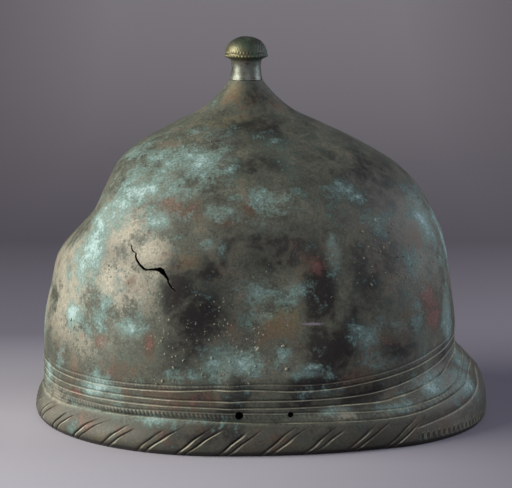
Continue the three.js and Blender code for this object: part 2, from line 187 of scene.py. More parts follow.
def plan(angle, front, back, half, forward, power):
    """Half an oval to the front and half to the back of the widest place."""
    c, s = np.cos(angle), np.sin(angle)
    length = np.where(c > 0, back + forward, front - forward)
    reach = (np.abs(c / length) ** power + np.abs(s / half) ** power) ** (-1 / power)
    return np.stack([reach * c - forward, reach * s], -1)


def flare_height(angle):
    """Height at which the rim begins to spread: low round the front, high over the guard."""
    share = np.maximum((np.cos(angle) - GUARD_START) / (1 - GUARD_START), 0)
    return blend(RIM_HEIGHT, GUARD_HEIGHT, share ** GUARD_RISE)


def rim_depth(share):
    """How thick the metal is at a share of the flare's height."""
    return blend(WALL_THICKNESS, RIM_THICKNESS, (1 - share) ** 2)


def wall_share(height):
    return np.interp(height / CROWN_HEIGHT, WALL_CURVE[:, 0], WALL_CURVE[:, 1])


def wall_plan(angle, height):
    share = wall_share(height)
    reach = [blend(NECK_RADIUS, size, share) for size in (WALL_FRONT, WALL_BACK, WALL_HALF)]
    side_power = np.where(np.cos(angle) > 0, BACK_POWER, FRONT_POWER)
    return plan(angle, *reach, WIDEST_FORWARD * share, blend(CROWN_POWER, side_power, share))


def rim_plan(angle):
    power = np.where(np.cos(angle) > 0, BACK_POWER, FRONT_POWER)
    return plan(angle, RIM_FRONT, RIM_BACK, RIM_HALF, WIDEST_FORWARD, power)


def outer(angle, height):
    """The bowl's outer surface, in millimetres about the knob's axis."""
    angle, height = np.broadcast_arrays(np.asarray(angle, float), np.asarray(height, float))
    flat = wall_plan(angle, height)
    low = height / flare_height(angle)
    share = np.interp(low, SPREAD_CURVE[:, 0], SPREAD_CURVE[:, 1])
    upright = ramp(np.cos(angle), UPRIGHT_START, UPRIGHT_FULL) * np.maximum(1 - low / UPRIGHT_TOP, 0) ** 1.4
    share = np.minimum(share + UPRIGHT_REACH * upright, 1)
    spread = rim_plan(angle) - wall_plan(angle, 0 * height)
    flat = flat + spread * np.where(height < flare_height(angle), share, 0)[..., None]
    points = np.concatenate([flat, height[..., None]], -1)
    for middle, extent, depth, push in DENTS:
        apart = np.linalg.norm((points - middle) / extent, axis=-1)
        points = points + (depth * np.maximum(1 - apart ** 2, 0) ** 2)[..., None] * np.array(push)
    return points


def outward(angle, height):
    """Unit normals of the outer surface."""
    step = 1e-3
    low, high = np.maximum(height - step, 0), np.minimum(height + step, CROWN_HEIGHT)
    around = outer(angle + step, height) - outer(angle - step, height)
    normal = np.cross(around, outer(angle, high) - outer(angle, low))
    return normal / np.linalg.norm(normal, axis=-1, keepdims=True)


def surface_frame(angle, height):
    """A point of the outer surface, and the ways out from it, along the wall and up the wall."""
    place = np.array([float(angle)]), np.array([float(height)])
    out = outward(*place)[0]
    along = np.cross((0, 0, 1), out)
    along /= np.linalg.norm(along)
    return outer(*place)[0], out, along, np.cross(out, along)


def line_height(name, angle):
    """Height of an incised line, the same on both sides. Its second point is repeated beyond the middle
    of the back, so that it runs smoothly across."""
    table = LINE_HEIGHTS[name]
    curve = smooth_curve([(-table[1][0], table[1][1])] + table)
    return np.interp(np.abs(from_back(angle)), curve[:, 0], curve[:, 1])


RIM_STEPS = 7200
ROUND = np.linspace(0, 2 * np.pi, RIM_STEPS + 1)
RUN = run_along(rim_plan(ROUND))


def rim_length(angle):
    """Length along the rim from the middle of the back, the way that the angle grows."""
    return np.interp(angle % (2 * np.pi), ROUND, RUN)


def rim_angle(length):
    return np.interp(length % RUN[-1], RUN, ROUND)


# Relief worked into the rim

CABLE_START = math.acos(CABLE_REACH / RIM_BACK)
CABLE_ROOM = rim_length(2 * math.pi - CABLE_START) - rim_length(CABLE_START) - CABLE_LEAN - CABLE_PAIR_TOP
CABLE_PAIRS = int(CABLE_ROOM // CABLE_PITCH)
CABLE_FIRST = rim_length(CABLE_START) + (CABLE_ROOM - CABLE_PAIRS * CABLE_PITCH) / 2
# The two grooves of a pair: how far along they start at the foot, how far they run, and their depth
GROOVES = ((0, CABLE_LEAN, 0.95), (CABLE_PAIR_FOOT, CABLE_LEAN + CABLE_PAIR_TOP - CABLE_PAIR_FOOT, 0.85))
GROOVE_WIDTH, LIP_AWAY, LIP_WIDTH = 0.38, 0.8, 0.3


def cable_run(height):
    """How far along a groove has run at this height: 0 at its foot, 1 at its top. It climbs fast and then
    leans over, so that its climb is 1.4 times its run less 0.4 times the run squared."""
    climb = np.clip((height - CABLE_FOOT) / (CABLE_TOP - CABLE_FOOT), -0.2, 1)
    return (1.4 - np.sqrt(np.maximum(1.96 - 1.6 * climb, 0))) / 0.8


def cable_relief(angle, height):
    """Pairs of chiselled grooves: the relief, where they are cut and the lip thrown up beside each."""
    along = rim_length(angle) - CABLE_FIRST
    across = math.sin(math.atan2(CABLE_TOP - CABLE_FOOT, CABLE_LEAN))
    depth, cut, lip = np.zeros((3, *height.shape))
    for start, run, deep in GROOVES:
        middle = start + run * cable_run(height)
        index = np.clip(np.round((along - middle) / CABLE_PITCH), 0, CABLE_PAIRS)
        away = (along - middle - index * CABLE_PITCH) * across
        away = away + 0.12 * np.sin(height * 0.9 + index * 2.3)
        # Each groove was cut by hand, so its depth, its top end and its lip vary
        uneven = 1 + 0.2 * np.sin(index * 5.1 + start)
        end = CABLE_TOP - 1 + 1.3 * np.sin(index * 3.7 + start)
        ragged = 0.75 + 0.35 * np.sin(index * 4.3 + start * 2 + height * 0.35)
        thin = uneven * (1 - 0.6 * ramp(height, 8, 14)) * ramp(height, end, end - 1.6)
        groove = np.exp(-np.abs(away / GROOVE_WIDTH) ** 1.5) * thin
        edge = ridge(away - LIP_AWAY, LIP_WIDTH) * thin * ragged
        depth += 0.14 * edge - deep * groove
        cut, lip = np.maximum(cut, groove), np.maximum(lip, edge)
    return depth, np.minimum(cut, 1), np.minimum(lip, 1)


BEAD_COUNT, BEAD_HEIGHT = 270, 2.5
# Arches along the guard: how many would go all the way round, the height of their tops, and the width
# each is worked out with, which the rim squeezes to 3.6 mm, so that they stand tall
ARCH_COUNT, ARCH_TOP, ARCH_WIDTH = 240, 6.6, 4.8
# Degrees round from the back where the row of arches starts and ends, between the ends of the cable
ARCADE_ENDS = (-37.5, 31.5)
LINE_WIDTH = 0.4


def worn_guard(angle):
    """Punched marks are rubbed in places, and nearly away towards the guard."""
    rubbed = 0.22 * (1 + np.sin(angle * 9 + 1) * np.sin(angle * 5 + 2))
    return (1 - rubbed) * (1 - 0.6 * ramp(np.cos(angle), 0.05, 0.35))


def bead_relief(angle, height):
    """The leaning punched beads between the two lowest lines, and how much soil lies between them."""
    low, high = line_height("cable_edge", angle), line_height("bead_edge", angle)
    up = (height - (low + high) / 2) / (BEAD_HEIGHT / 2)
    across = ((angle * BEAD_COUNT / (2 * np.pi) + 0.3 * up) % 1 - 0.5) * BEAD_HEIGHT
    bead = np.sqrt(np.maximum(1 - up ** 2 - across ** 2, 0))
    band = ramp(np.abs(up), 1.5, 1.1) * worn_guard(angle)
    return band * (0.6 * bead - 0.25), band * np.clip(1 - 1.8 * bead, 0, 1) * 0.85


def tick_relief(angle, height):
    """A row of fine leaning punch marks between the two highest lines."""
    low, high = line_height("high", angle), line_height("top", angle)
    share = (height - low) / (high - low)
    across = (angle * BEAD_COUNT / (2 * np.pi) + 0.5 * share) % 1 - 0.5
    mark = ridge(across, 0.2) * ramp(np.abs(share - 0.52), 0.36, 0.24) * worn_guard(angle)
    return -0.22 * mark, 0.6 * mark


def arcade_relief(angle, height):
    """A row of small sunk arches along the edge of the guard, with a raised border to each, and the
    fine line above them: the relief, the dark insides and the pale borders."""
    across = ((angle * ARCH_COUNT / (2 * np.pi)) % 1 - 0.5) * ARCH_WIDTH
    bend = np.sqrt(across ** 2 + np.maximum(height - ARCH_TOP + 1.4, 0) ** 2)
    foot = ramp(height, 2.4, 3) * (height < ARCH_TOP + 1.6)
    inside = ramp(bend, 1.25, 0.75) * foot
    rim = ridge(bend - 1.75, LINE_WIDTH) * foot
    above = height - line_height("arch_border", angle)
    turned = from_back(angle)
    start, end = ARCADE_ENDS
    arches = (turned > start) & (turned < end)
    fade = ramp(turned, start - 3, start) * ramp(turned, end + 2, end)
    line = fade * ridge(above, LINE_WIDTH)
    pale = np.maximum(arches * rim, fade * ridge(above + 0.7, LINE_WIDTH))
    return arches * (0.2 * rim - 0.5 * inside) - 0.5 * line, np.maximum(arches * inside, 0.8 * line), pale


def line_relief(angle, height):
    """Incised lines as shallow grooves with a thrown-up edge: the relief, the pale edge and the groove."""
    depth, mark, groove = np.zeros((3, *height.shape))
    for name, strength in (("cable_edge", 0.8), ("bead_edge", 0.8), ("low", 0.9), ("middle", 1),
                           ("high", 1), ("top", 0.65)):
        away = height - line_height(name, angle)
        depth += strength * (0.16 * ridge(away + 0.8, LINE_WIDTH) - 0.5 * ridge(away, 0.38))
        mark = np.maximum(mark, strength * ridge(away + 0.62, 0.25))
        groove = np.maximum(groove, 0.8 * strength * ridge(away - 0.02, 0.3))
    return depth, mark, groove


def hammer_relief(points):
    """Slow unevenness left by raising and later knocks, which dies out at the crown and the foot."""
    x, y, z = points[..., 0], points[..., 1], points[..., 2]
    waves = (np.sin(x * 0.11 + 1.3) * np.sin(z * 0.13 + 0.4) + np.sin(y * 0.12 + z * 0.07)
             + 0.6 * np.sin(x * 0.21 - z * 0.17 + 2) * np.sin(y * 0.19 + 1))
    return 0.28 * waves * ramp(z, CROWN_HEIGHT, CROWN_HEIGHT - 40) * ramp(z, 0, 30)


# Where the patina lies, and the painted light and shade in the pale, golden and dark tables: degrees round
# from the back, height, half length along and half height in millimetres, and strength

TURQUOISE = [(-113, 150, 24, 15, .75), (-124, 135, 18, 6, .85), (-132, 124, 10, 12, .95),
             (-74, 133, 13, 6, .62), (-92, 126, 15, 6, .6), (-113, 121, 8, 6, .8),
             (-138, 108, 9, 22, 1.1), (-141, 90, 7, 12, .95), (-143, 68, 9, 8, 1), (-119, 64, 13, 6, .7),
             (-131, 62, 12, 8, .5), (-94, 111, 7, 6, .5), (-79, 84, 12, 9, .65), (-68, 85, 8, 7, .6),
             (-76, 72, 5, 5, .6), (-85, 48, 18, 8, .72), (-71, 51, 8, 8, .52), (-64, 43, 13, 4, .75),
             (-100, 42, 12, 3, .5), (-130, 30, 15, 6, 1), (-108, 17, 14, 2.5, .75), (-98, 18, 8, 2, .6),
             (-163, 26, 9, 8, .8), (-170, 55, 7, 20, .5), (-55, 105, 5, 11, .65), (-47, 60, 10, 8, .65),
             (-44, 46, 16, 4, .6), (-19, 116, 13, 18, .8), (-8, 102, 9, 21, .85), (-29, 96, 13, 11, .5),
             (-17, 61, 8, 16, .85), (-37, 63, 10, 5, .55), (-29, 29, 12, 8, .8), (-20, 26, 12, 9, .8),
             (-12, 34, 10, 9, .6), (-134, 17.5, 13, 2, .65), (-64, 127, 12, 4, .5),
             (-86, 162, 20, 7, .3), (-91, 58, 8, 4, .5), (-58, 21, 9, 3, .6), (-41, 22, 14, 3, .6),
             (-154, 152, 17, 10, .5), (-45, 135, 20, 10, .35), (-30, 77, 8, 8, .4),
             (-125, 142, 34, 20, .55), (-105, 135, 20, 12, .45), (-145, 95, 14, 26, .55),
             (-100, 126, 24, 10, .3), (-128, 75, 20, 14, .35), (-78, 78, 24, 18, .3),
             (-15, 100, 22, 30, .4), (-25, 32, 26, 12, .35), (-110, 162, 24, 10, .4),
             (-150, 40, 8, 10, .5), (-60, 32, 16, 3, .5), (-40, 118, 14, 8, .4)]
# Pale patches: partly rubbed metal, partly painted light on the brow side and lower front, which face the
# light
PALE_AND_PAINTED_LIGHT = [(-125, 112, 17, 16, .6), (-114, 106, 12, 8, .8), (-155, 12, 22, 10, .8),
         (-150, 82, 20, 28, .85), (-124, 88, 17, 13, .75), (-153, 9, 18, 8, .7), (-128, 8, 30, 3, .4),
         (-95, 9, 34, 3, .35), (-110, 94, 7, 5, .7), (-131, 122, 15, 7, .45), (-34, 9, 22, 4, .55),
         (-54, 20, 11, 4, .5), (-168, 88, 16, 30, .6), (-137, 50, 12, 10, .4), (-28, 8, 26, 5, .7)]
# Golden patches: partly golden bronze, partly painted highlight and reflection along the lit foot, in the
# near dent and on the lit side of the crown
GOLD_AND_PAINTED_HIGHLIGHT = [(-72, 69, 13, 10, .8), (-101, 101, 12, 6, .75), (-125, 183, 8, 8, 1), (-105, 180, 7, 6, .6),
        (-111, 168, 16, 10, .6), (-81, 57, 14, 6, .4), (-114, 106, 13, 8, .6), (-145, 5, 15, 5, .7),
        (-102, 55, 11, 7, .35), (-64, 65, 10, 4, .6), (-86, 72, 12, 8, .4), (-112, 8, 16, 3, .5),
        (-52, 12, 14, 3, .5), (-126, 6, 9, 4, .9), (-112, 4, 6, 4, 1), (-99, 5, 7, 4, .9),
        (-87, 7, 8, 4, .7), (-66, 5, 9, 4, .6), (-40, 8, 10, 4, .6)]
# Dark patches: partly dark oxide, partly painted shade in and around the dents, along the foot and high up
# towards the back
DARK_AND_PAINTED_SHADE = [(-103, 85, 9, 14, .9), (-96, 72, 15, 14, .95), (-98, 58, 14, 10, .75), (-77, 111, 27, 5, .8),
        (-60, 83, 9, 24, .95), (-57, 54, 17, 15, .95), (-62, 37, 18, 7, 1), (-49, 30, 13, 7, .9),
        (-38, 50, 12, 7, .9), (-78, 148, 16, 12, .6), (-74, 165, 28, 13, .65), (-34, 141, 38, 26, .6),
        (-94, 98, 12, 7, .8), (-43, 100, 25, 27, .5), (-20, 43, 14, 9, .6), (-87, 31, 30, 3.5, .5),
        (-87, 25, 10, 4, .6), (-66, 28, 18, 5, .75), (-60, 178, 10, 12, .5), (-72, 103, 12, 8, .7),
        (-50, 68, 10, 18, .6), (-100, 44, 12, 5, .55), (-82, 37, 30, 3, .4), (-90, 11, 30, 7, .6),
        (-62, 12, 30, 7, .45)]
RED = [(-95, 180, 12, 9, .35), (-128, 40, 26, 7, .5), (-100, 31, 26, 6, .5), (-140, 36, 14, 6, .45),
       (-100, 102, 14, 8, .35), (-60, 108, 12, 10, .45), (-76, 62, 20, 10, .3), (-38, 108, 16, 16, .3),
       (-48, 34, 20, 10, .4), (-107, 126, 7, 4, .85), (-113, 131, 5, 3, .7), (-88, 120, 7, 3, .8),
       (-80, 127, 4, 3, .8), (-27, 74, 8, 7, .9), (-25, 65, 7, 7, 1), (-29, 108, 9, 7, .55),
       (-4, 104, 6, 8, .8), (-141, 25, 5, 2, 1), (-112, 57, 3, 5, .95), (-130, 55, 3, 3, .85),
       (-60, 98, 4, 6, .7), (-41, 56, 8, 4, .6), (-150, 43, 12, 6, .55), (-111, 32, 20, 3, .6),
       (-103, 127, 7, 5, .55), (-84, 107, 10, 3, .5), (-125, 104, 10, 8, .35), (-92, 178, 6, 7, .25),
       (-120, 88, 3, 3, .6), (-36, 60, 5, 9, .5), (-145, 30, 10, 4, .5), (-66, 56, 8, 4, .4),
       (-134, 10, 9, 4, .6), (-119, 11, 9, 4, .55), (-106, 9, 7, 5, .5), (-93, 12, 9, 4, .5),
       (-72, 8, 10, 4, .5), (-55, 6, 9, 4, .6), (-122, 34, 16, 8, .5)]
# A short pale flaw in the near side, and its half sizes
FLAW_PLACE, FLAW_SIZE = (AXIS + 35, -89.7, 68.1), (5.4, 12, 0.75)
CRUST = [(-103, 83, 8, 4, 1), (-92, 72, 28, 18, .85), (-81, 62, 22, 14, .8), (-127, 86, 18, 12, .9),
         (-141, 60, 7, 5, .9), (-36, 86, 6, 5, .9), (-77, 96, 11, 5, .85), (-84, 45, 21, 7, .6),
         (-41, 104, 24, 20, .5), (-120, 150, 25, 14, .5), (-108, 56, 12, 8, .7), (-112, 38, 16, 4, .5)]
# Grains of crust in all, at least in each patch, and the points of one grain
GRAIN_COUNT, LEAST_GRAINS, GRAIN_POINTS = 300, 6, 12


def patches(points, table):
    """Soft patches on the near side, and the same ones turned half round on the far side."""
    total = np.zeros(points.shape[:-1])
    for turn in (1, -1):
        turned = points * (turn, turn, 1)
        part = np.zeros_like(total)
        for degrees, height, half_along, half_up, strength in table:
            middle, out, along, up = surface_frame(math.radians(degrees), height)
            away = turned - middle
            apart = ((away @ along) / half_along) ** 2 + ((away @ up) / half_up) ** 2
            part = np.maximum(part, strength * np.exp(-0.7 * apart - ((away @ out) / 20) ** 2))
        total = np.maximum(total, part * ramp(turned[..., 1], 8, -8))
    return total


# Making meshes

def only(obj):
    """Leaves nothing selected but this object, and makes it the active one."""
    bpy.ops.object.select_all(action="DESELECT")
    obj.select_set(True)
    bpy.context.view_layer.objects.active = obj


def edit_all(obj):
    """Opens an object in edit mode with its whole mesh selected."""
    only(obj)
    bpy.ops.object.mode_set(mode="EDIT")
    bpy.ops.mesh.select_all(action="SELECT")


def tube_of(rows, name):
    """An open tube: a grid whose rows are moved to rings of points, and whose two sides are then merged."""
    count, columns = rows.shape[:2]
    bpy.ops.object.select_all(action="DESELECT")
    bpy.ops.mesh.primitive_grid_add(x_subdivisions=columns, y_subdivisions=count - 1, size=2)
    tube = bpy.context.object
    tube.name = name
    closed = np.concatenate([rows, rows[:, :1]], axis=1) * MM + np.array([AXIS * MM, 0, 0])
    tube.data.vertices.foreach_set("co", closed.reshape(-1))
    edit_all(tube)
    bpy.ops.mesh.remove_doubles(threshold=1e-6)
    bpy.ops.object.mode_set(mode="OBJECT")
    return tube


def bridge(obj, height_low, height_high):
    """Joins two open edges whose points lie between two heights."""
    only(obj)
    bpy.ops.object.mode_set(mode="EDIT")
    bpy.ops.mesh.select_mode(type="EDGE")
    bpy.ops.mesh.select_all(action="DESELECT")
    bpy.ops.mesh.select_non_manifold(extend=False, use_wire=False, use_boundary=True,
                                     use_multi_face=False, use_non_contiguous=False, use_verts=False)
    bpy.ops.object.mode_set(mode="OBJECT")
    for edge in obj.data.edges:
        if edge.select:
            heights = [obj.data.vertices[v].co.z for v in edge.vertices]
            edge.select = height_low * MM < min(heights) and max(heights) < height_high * MM
    bpy.ops.object.mode_set(mode="EDIT")
    bpy.ops.mesh.bridge_edge_loops()
    bpy.ops.object.mode_set(mode="OBJECT")


def combine(obj, other, operation):
    """Cuts another mesh out of this one, or joins it on, for good."""
    only(obj)
    change = obj.modifiers.new("combine", "BOOLEAN")
    change.operation = operation
    change.solver = "EXACT"
    change.object = other
    bpy.ops.object.modifier_apply(modifier=change.name)
    bpy.data.objects.remove(other)


def finish_mesh(obj, smooth_degrees):
    """Outward faces, smooth shading up to an edge angle, and the object at the origin."""
    edit_all(obj)
    bpy.ops.mesh.normals_make_consistent(inside=False)
    bpy.ops.object.mode_set(mode="OBJECT")
    bpy.ops.object.transform_apply(location=True, rotation=True, scale=True)
    bpy.ops.object.shade_smooth_by_angle(angle=math.radians(smooth_degrees))


def show_as(obj, name, body, material, nodes):
    """Names a finished piece and says what it rides on and stands for."""
    obj.name = name
    obj.data.name = name
    obj.data.materials.clear()
    obj.data.materials.append(material)
    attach(obj, body)
    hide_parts(*nodes)


# The bowl

LINE_COLUMNS, WALL_COLUMNS, INNER_COLUMNS = 1080, 400, 180
# Columns beside a groove, by distance along the rim, columns over an arch, by share of its width, and
# heights of the lower rows over the cable band
GROOVE_OFFSETS = np.array([-1.5, -1.05, -0.7, -0.4, -0.13, 0.13, 0.4, 0.75, 1.1, 1.5, 1.9])
ARCH_COLUMNS = np.array([0.135, 0.29, 0.5, 0.71, 0.865, 1])
ARCH_ROWS = (0, 0.3, 0.8, 1.5, 2.4, 3, 4.1, 5.2, 6.1, 6.9, 8.1)
# Columns between the two grooves of a pair, between two pairs, and in each fan between the leaning
# columns and the upright ones
PAIR_COLUMNS, BETWEEN_COLUMNS, FAN_COLUMNS = 2, 9, 8
# Length along the rim of the fan at each end of the arches, and of the stretch where columns still lean
FAN_START, FAN_END, LEAN_END = 10.2, 3, 60
# Rows of the wall, and the height from which up they are as even as on the profile
WALL_ROWS, WALL_ROWS_FROM = 44, 60
# Rows of the wall's inside, from near the crown down to above the flare
INNER_ROWS, INNER_TOP, INNER_LOW = 26, 172, 46


def band_columns():
    """Where each column of the cable band starts at the foot, where it has come to at the top, and how
    upright it first stands: 0 for those that lie close together along a groove and lean as it does, and
    1 over the arches."""
    feet, tops = [], []
    for index in range(CABLE_PAIRS + 1):
        for start, run, _ in GROOVES:
            foot = CABLE_FIRST + index * CABLE_PITCH + start + GROOVE_OFFSETS
            if feet:
                share = inner_shares(PAIR_COLUMNS if start else BETWEEN_COLUMNS)
                feet += list(blend(feet[-1], foot[0], share))
                tops += list(blend(tops[-1], foot[0] + run, share))
            feet += list(foot)
            tops += list(foot + run)
    last_foot, last_top = feet[-1], tops[-1]
    next_foot, next_top = feet[0] + RUN[-1], tops[0] + RUN[-1]
    arches = (np.arange(-ARCH_COUNT // 4, ARCH_COUNT // 4)[:, None] + ARCH_COLUMNS).reshape(-1)
    upright = rim_length(arches * 2 * np.pi / ARCH_COUNT) + RUN[-1] * (arches >= 0)
    upright = upright[(upright > last_foot + FAN_START) & (upright < next_foot - FAN_END)]
    lean = (last_top - last_foot) * ramp(upright, last_foot + LEAN_END, last_foot) ** 2
    share = inner_shares(FAN_COLUMNS)
    feet = np.concatenate([feet, blend(last_foot, upright[0], share), upright,
                           blend(upright[-1], next_foot, share)])
    stand = np.concatenate([np.zeros(len(tops)), share, np.ones(len(upright)), 1 - share])
    tops = np.concatenate([tops, blend(last_top, upright[0] + lean[0], share), upright + lean,
                           blend(upright[-1], next_top, share)])
    return feet, tops, stand


def band_rows(angle):
    """Heights of the rows over the cable band: close together over the arches and along their border."""
    border, top = line_height("arch_border", angle), line_height("cable_edge", angle) - 1
    low, high = border - 0.65, border + 0.6
    rows = [row + 0 * angle for row in ARCH_ROWS]
    rows += [blend(rows[-1], low, share) for share in inner_shares(4)]
    return rows + [low, border, high, (high + top) / 2, top]


def band_mesh():
    """The rim from its foot to the lowest line. A column's place depends on its height and the height
    of its row on its place, so the two are worked out in turns."""
    foot, top, stand = band_columns()
    middle = rim_angle((foot + top) / 2)
    rings = []
    for index in range(len(band_rows(middle))):
        angle = middle
        for _ in range(4):
            height = band_rows(angle)[index]
            run = blend(cable_run(height), ramp(height, ARCH_ROWS[-1], CABLE_TOP), stand)
            angle = rim_angle(blend(foot, top, run))
        rings.append(raised(angle, height))
    return tube_of(np.array(rings), "rim")


def line_rows(angle):
    """Heights of the rows over the incised lines, close together along each."""
    below = line_height("cable_edge", angle)
    rows = [below - 0.6, below - 0.25, below + 0.05, below + 0.4]
    for name, between in (("bead_edge", 5), ("low", 1), ("middle", 1), ("high", 1), ("top", 4)):
        line = line_height(name, angle)
        if between == 1:
            rows.append(below + 0.85)
        rows += [blend(below + 0.45, line - 1.15, step / between) for step in range(1, between + 1)]
        rows += [line - 0.7, line - 0.3, line + 0.05, line + 0.45]
        below = line
    return rows + [below + 0.85, below + 2.5]


def wall_rows(start):
    """Heights of the rows from the rim's lines up to the crown, even along the wall."""
    profile = smooth_curve([(value * WALL_BACK, at * CROWN_HEIGHT) for at, value in WALL_SHARES], 2000)
    length = run_along(profile)
    first = length[profile[:, 1] > WALL_ROWS_FROM][0]
    heights = np.interp(np.linspace(first, length[-1], WALL_ROWS), length, profile[:, 1])
    shares = (heights - heights[0]) / (CROWN_HEIGHT - heights[0])
    return [blend(start, CROWN_HEIGHT, share) for share in shares]


def inner_rows(angle):
    """Rings of the inner surface, from the crown's bore down to the rim's foot."""
    turns = np.stack([np.cos(angle), np.sin(angle), 0 * angle], -1)
    rings = [turns * radius + (0, 0, CROWN_HEIGHT - drop)
             for radius, drop in ((CROWN_BORE, 0), (CROWN_BORE, CROWN_THICKNESS),
                                  (CROWN_INNER_RADIUS, CROWN_INNER_DROP))]
    flare = flare_height(angle)
    wall = np.linspace(INNER_TOP, INNER_LOW, INNER_ROWS)
    levels = [(height + 0 * angle, WALL_THICKNESS) for height in wall]
    levels += [(blend(flare, INNER_LOW, share), WALL_THICKNESS) for share in (0.75, 0.5, 0.25)]
    levels += [(share * flare, rim_depth(share)) for share in (1, 0.87, 0.75, 0.63, 0.5, 0.38, 0.25, 0.14)]
    rings += [outer(angle, height) - outward(angle, height) * thickness for height, thickness in levels]
    foot = outward(angle, 0 * angle) * (1, 1, 0)
    rings.append(outer(angle, 0 * angle) - foot / np.linalg.norm(foot, axis=-1, keepdims=True) * RIM_FOOT)
    return np.array(rings)


def raised(angle, height):
    """A ring of the outer surface with all its relief."""
    points = outer(angle, height)
    worked = (cable_relief, line_relief, bead_relief, tick_relief, arcade_relief)
    relief = sum(work(angle, height)[0] for work in worked) * ramp(height, 0, 1.5)
    return points + outward(angle, height) * (relief + hammer_relief(points))[:, None]


def bowl_mesh():
    """The whole bowl: four open tubes, joined edge to edge."""
    fine, coarse = even_angles(LINE_COLUMNS), even_angles(WALL_COLUMNS)
    # The inner columns keep step with the rim's own, so that the foot between them isn't sheared
    feet = np.unwrap(rim_angle(band_columns()[0]))
    inside = np.interp(np.arange(INNER_COLUMNS) / INNER_COLUMNS, np.arange(len(feet)) / len(feet), feet)
    rim = band_mesh()
    lines = tube_of(np.array([raised(fine, row) for row in line_rows(fine)]), "lines")
    wall_heights = wall_rows(line_height("top", coarse) + 4.5)
    wall = tube_of(np.array([raised(coarse, row) for row in wall_heights]), "wall")
    inner = tube_of(inner_rows(inside), "inner")
    only(rim)
    for part in (lines, wall, inner):
        part.select_set(True)
    bpy.ops.object.join()
    # Band to lines, lines to wall, wall to the inside at the crown, and inside to band at the foot
    for low, high in ((10, 34), (30, 70), (180, 200), (-5, 5)):
        bridge(rim, low, high)
    return rim


# The crack: place along from the knob's axis, height and width
CRACK = [(-60.4, 108.3, .5), (-59.9, 107.2, .8), (-60.2, 106.5, .7), (-59.1, 104.9, .9),
         (-58.1, 104.6, .45), (-57.5, 104.3, .9), (-57.7, 102.7, 1.1), (-57.3, 101.2, 1.15),
         (-55.6, 98.8, 1.3), (-53.4, 96.8, 1.5), (-52, 96.2, 1.2), (-48.6, 96.7, 1.2),
         (-46.4, 96.8, 1.7), (-44.7, 96.9, 2.7), (-43.5, 96.1, 3.1), (-42.1, 94.5, 1.9),
         (-40.4, 92.2, 1.2), (-40.2, 90.6, .9), (-38.7, 88.3, .85), (-36.4, 86.1, .3)]
CRACK_CLEARANCE = 2.5
# The crack's blade starts outside the near wall and runs in
BLADE_START, BLADE_RUN = -130, 100
# The rivet holes are drilled from outside one wall to outside the other
DRILL_REACH = 120


def crack_cutter():
    """A ragged blade the shape of the crack, run in from the near side."""
    path = np.array(CRACK)
    along = np.gradient(path[:, :2], axis=0)
    along /= np.linalg.norm(along, axis=1, keepdims=True)
    side = np.stack([-along[:, 1], along[:, 0]], -1) * path[:, 2:] / 2
    outline = np.vstack([path[:, :2] + side, (path[:, :2] - side)[::-1]])
    bpy.ops.object.select_all(action="DESELECT")
    bpy.ops.mesh.primitive_circle_add(vertices=len(outline), radius=1, fill_type="NGON")
    blade = bpy.context.object
    for vertex, (x, z) in zip(blade.data.vertices, outline):
        vertex.co = Vector(((x + AXIS) * MM, BLADE_START * MM, z * MM))
    edit_all(blade)
    bpy.ops.mesh.extrude_region_move(TRANSFORM_OT_translate={"value": (0, BLADE_RUN * MM, 0)})
    bpy.ops.mesh.select_all(action="SELECT")
    bpy.ops.mesh.normals_make_consistent(inside=False)
    bpy.ops.object.mode_set(mode="OBJECT")
    return blade


def rod(radius, start, end):
    """A round cutter between two points, in millimetres in the frame."""
    a, b = Vector(start) * MM, Vector(end) * MM
    bpy.ops.object.select_all(action="DESELECT")
    bpy.ops.mesh.primitive_cylinder_add(vertices=32, radius=radius * MM, depth=(b - a).length,
                                        location=(a + b) / 2)
    made = bpy.context.object
    made.rotation_mode = "QUATERNION"
    made.rotation_quaternion = (b - a).to_track_quat("Z", "Y")
    only(made)
    bpy.ops.object.transform_apply(location=True, rotation=True, scale=True)
    return made


def crust_grains(bowl):
    """Small hard grains of mineral crust half sunk in the wall, thick where the crust table says. One
    grain is modelled, and its copies are moved, turned, stretched and joined to the bowl."""
    random = np.random.default_rng(11)
    bpy.ops.object.select_all(action="DESELECT")
    bpy.ops.mesh.primitive_ico_sphere_add(subdivisions=1, radius=1)
    pattern = bpy.context.object
    form = np.array([vertex.co for vertex in pattern.data.vertices])
    room = np.array([half_along * half_up * strength for _, _, half_along, half_up, strength in CRUST])
    counts = np.maximum(np.round(GRAIN_COUNT * room / room.sum()), LEAST_GRAINS).astype(int)
    crack = np.array(CRACK)[:, :2]
    copies = []
    for turn in (0, np.pi):
        for (degrees, height, half_along, half_up, _), count in zip(CRUST, counts):
            start = math.radians(degrees)
            radius = np.linalg.norm(outer(start, height)[:2])
            angles = start + random.normal(0, 0.62, count) * half_along / radius
            heights = height + random.normal(0, 0.62, count) * half_up
            sizes = 0.26 + 0.55 * random.random(count) ** 3
            shapes = 1 + 0.3 * random.standard_normal((count, len(form), 1)).clip(-1.2, 1.2)
            spins, stretches = random.random(count) * 6.28, 1 + 0.7 * random.random(count)
            drawn = zip(angles, heights, sizes, shapes, spins, stretches)
            for angle, up, size, shape, spin, stretch in drawn:
                middle, out, along, across = surface_frame(angle + turn, up)
                if turn == 0 and np.linalg.norm(crack - middle[[0, 2]], axis=1).min() < CRACK_CLEARANCE:
                    continue
                first = along * math.cos(spin) + across * math.sin(spin)
                ways = np.array([first, np.cross(out, first), out])
                points = (form * shape * size * (stretch, 1, 0.6)) @ ways + middle + (AXIS, 0, 0)
                grain = pattern.copy()
                grain.data = pattern.data.copy()
                bpy.context.scene.collection.objects.link(grain)
                grain.data.vertices.foreach_set("co", (points * MM).reshape(-1))
                copies.append(grain)
    bpy.data.objects.remove(pattern)
    only(bowl)
    for grain in copies:
        grain.select_set(True)
    bpy.ops.object.join()


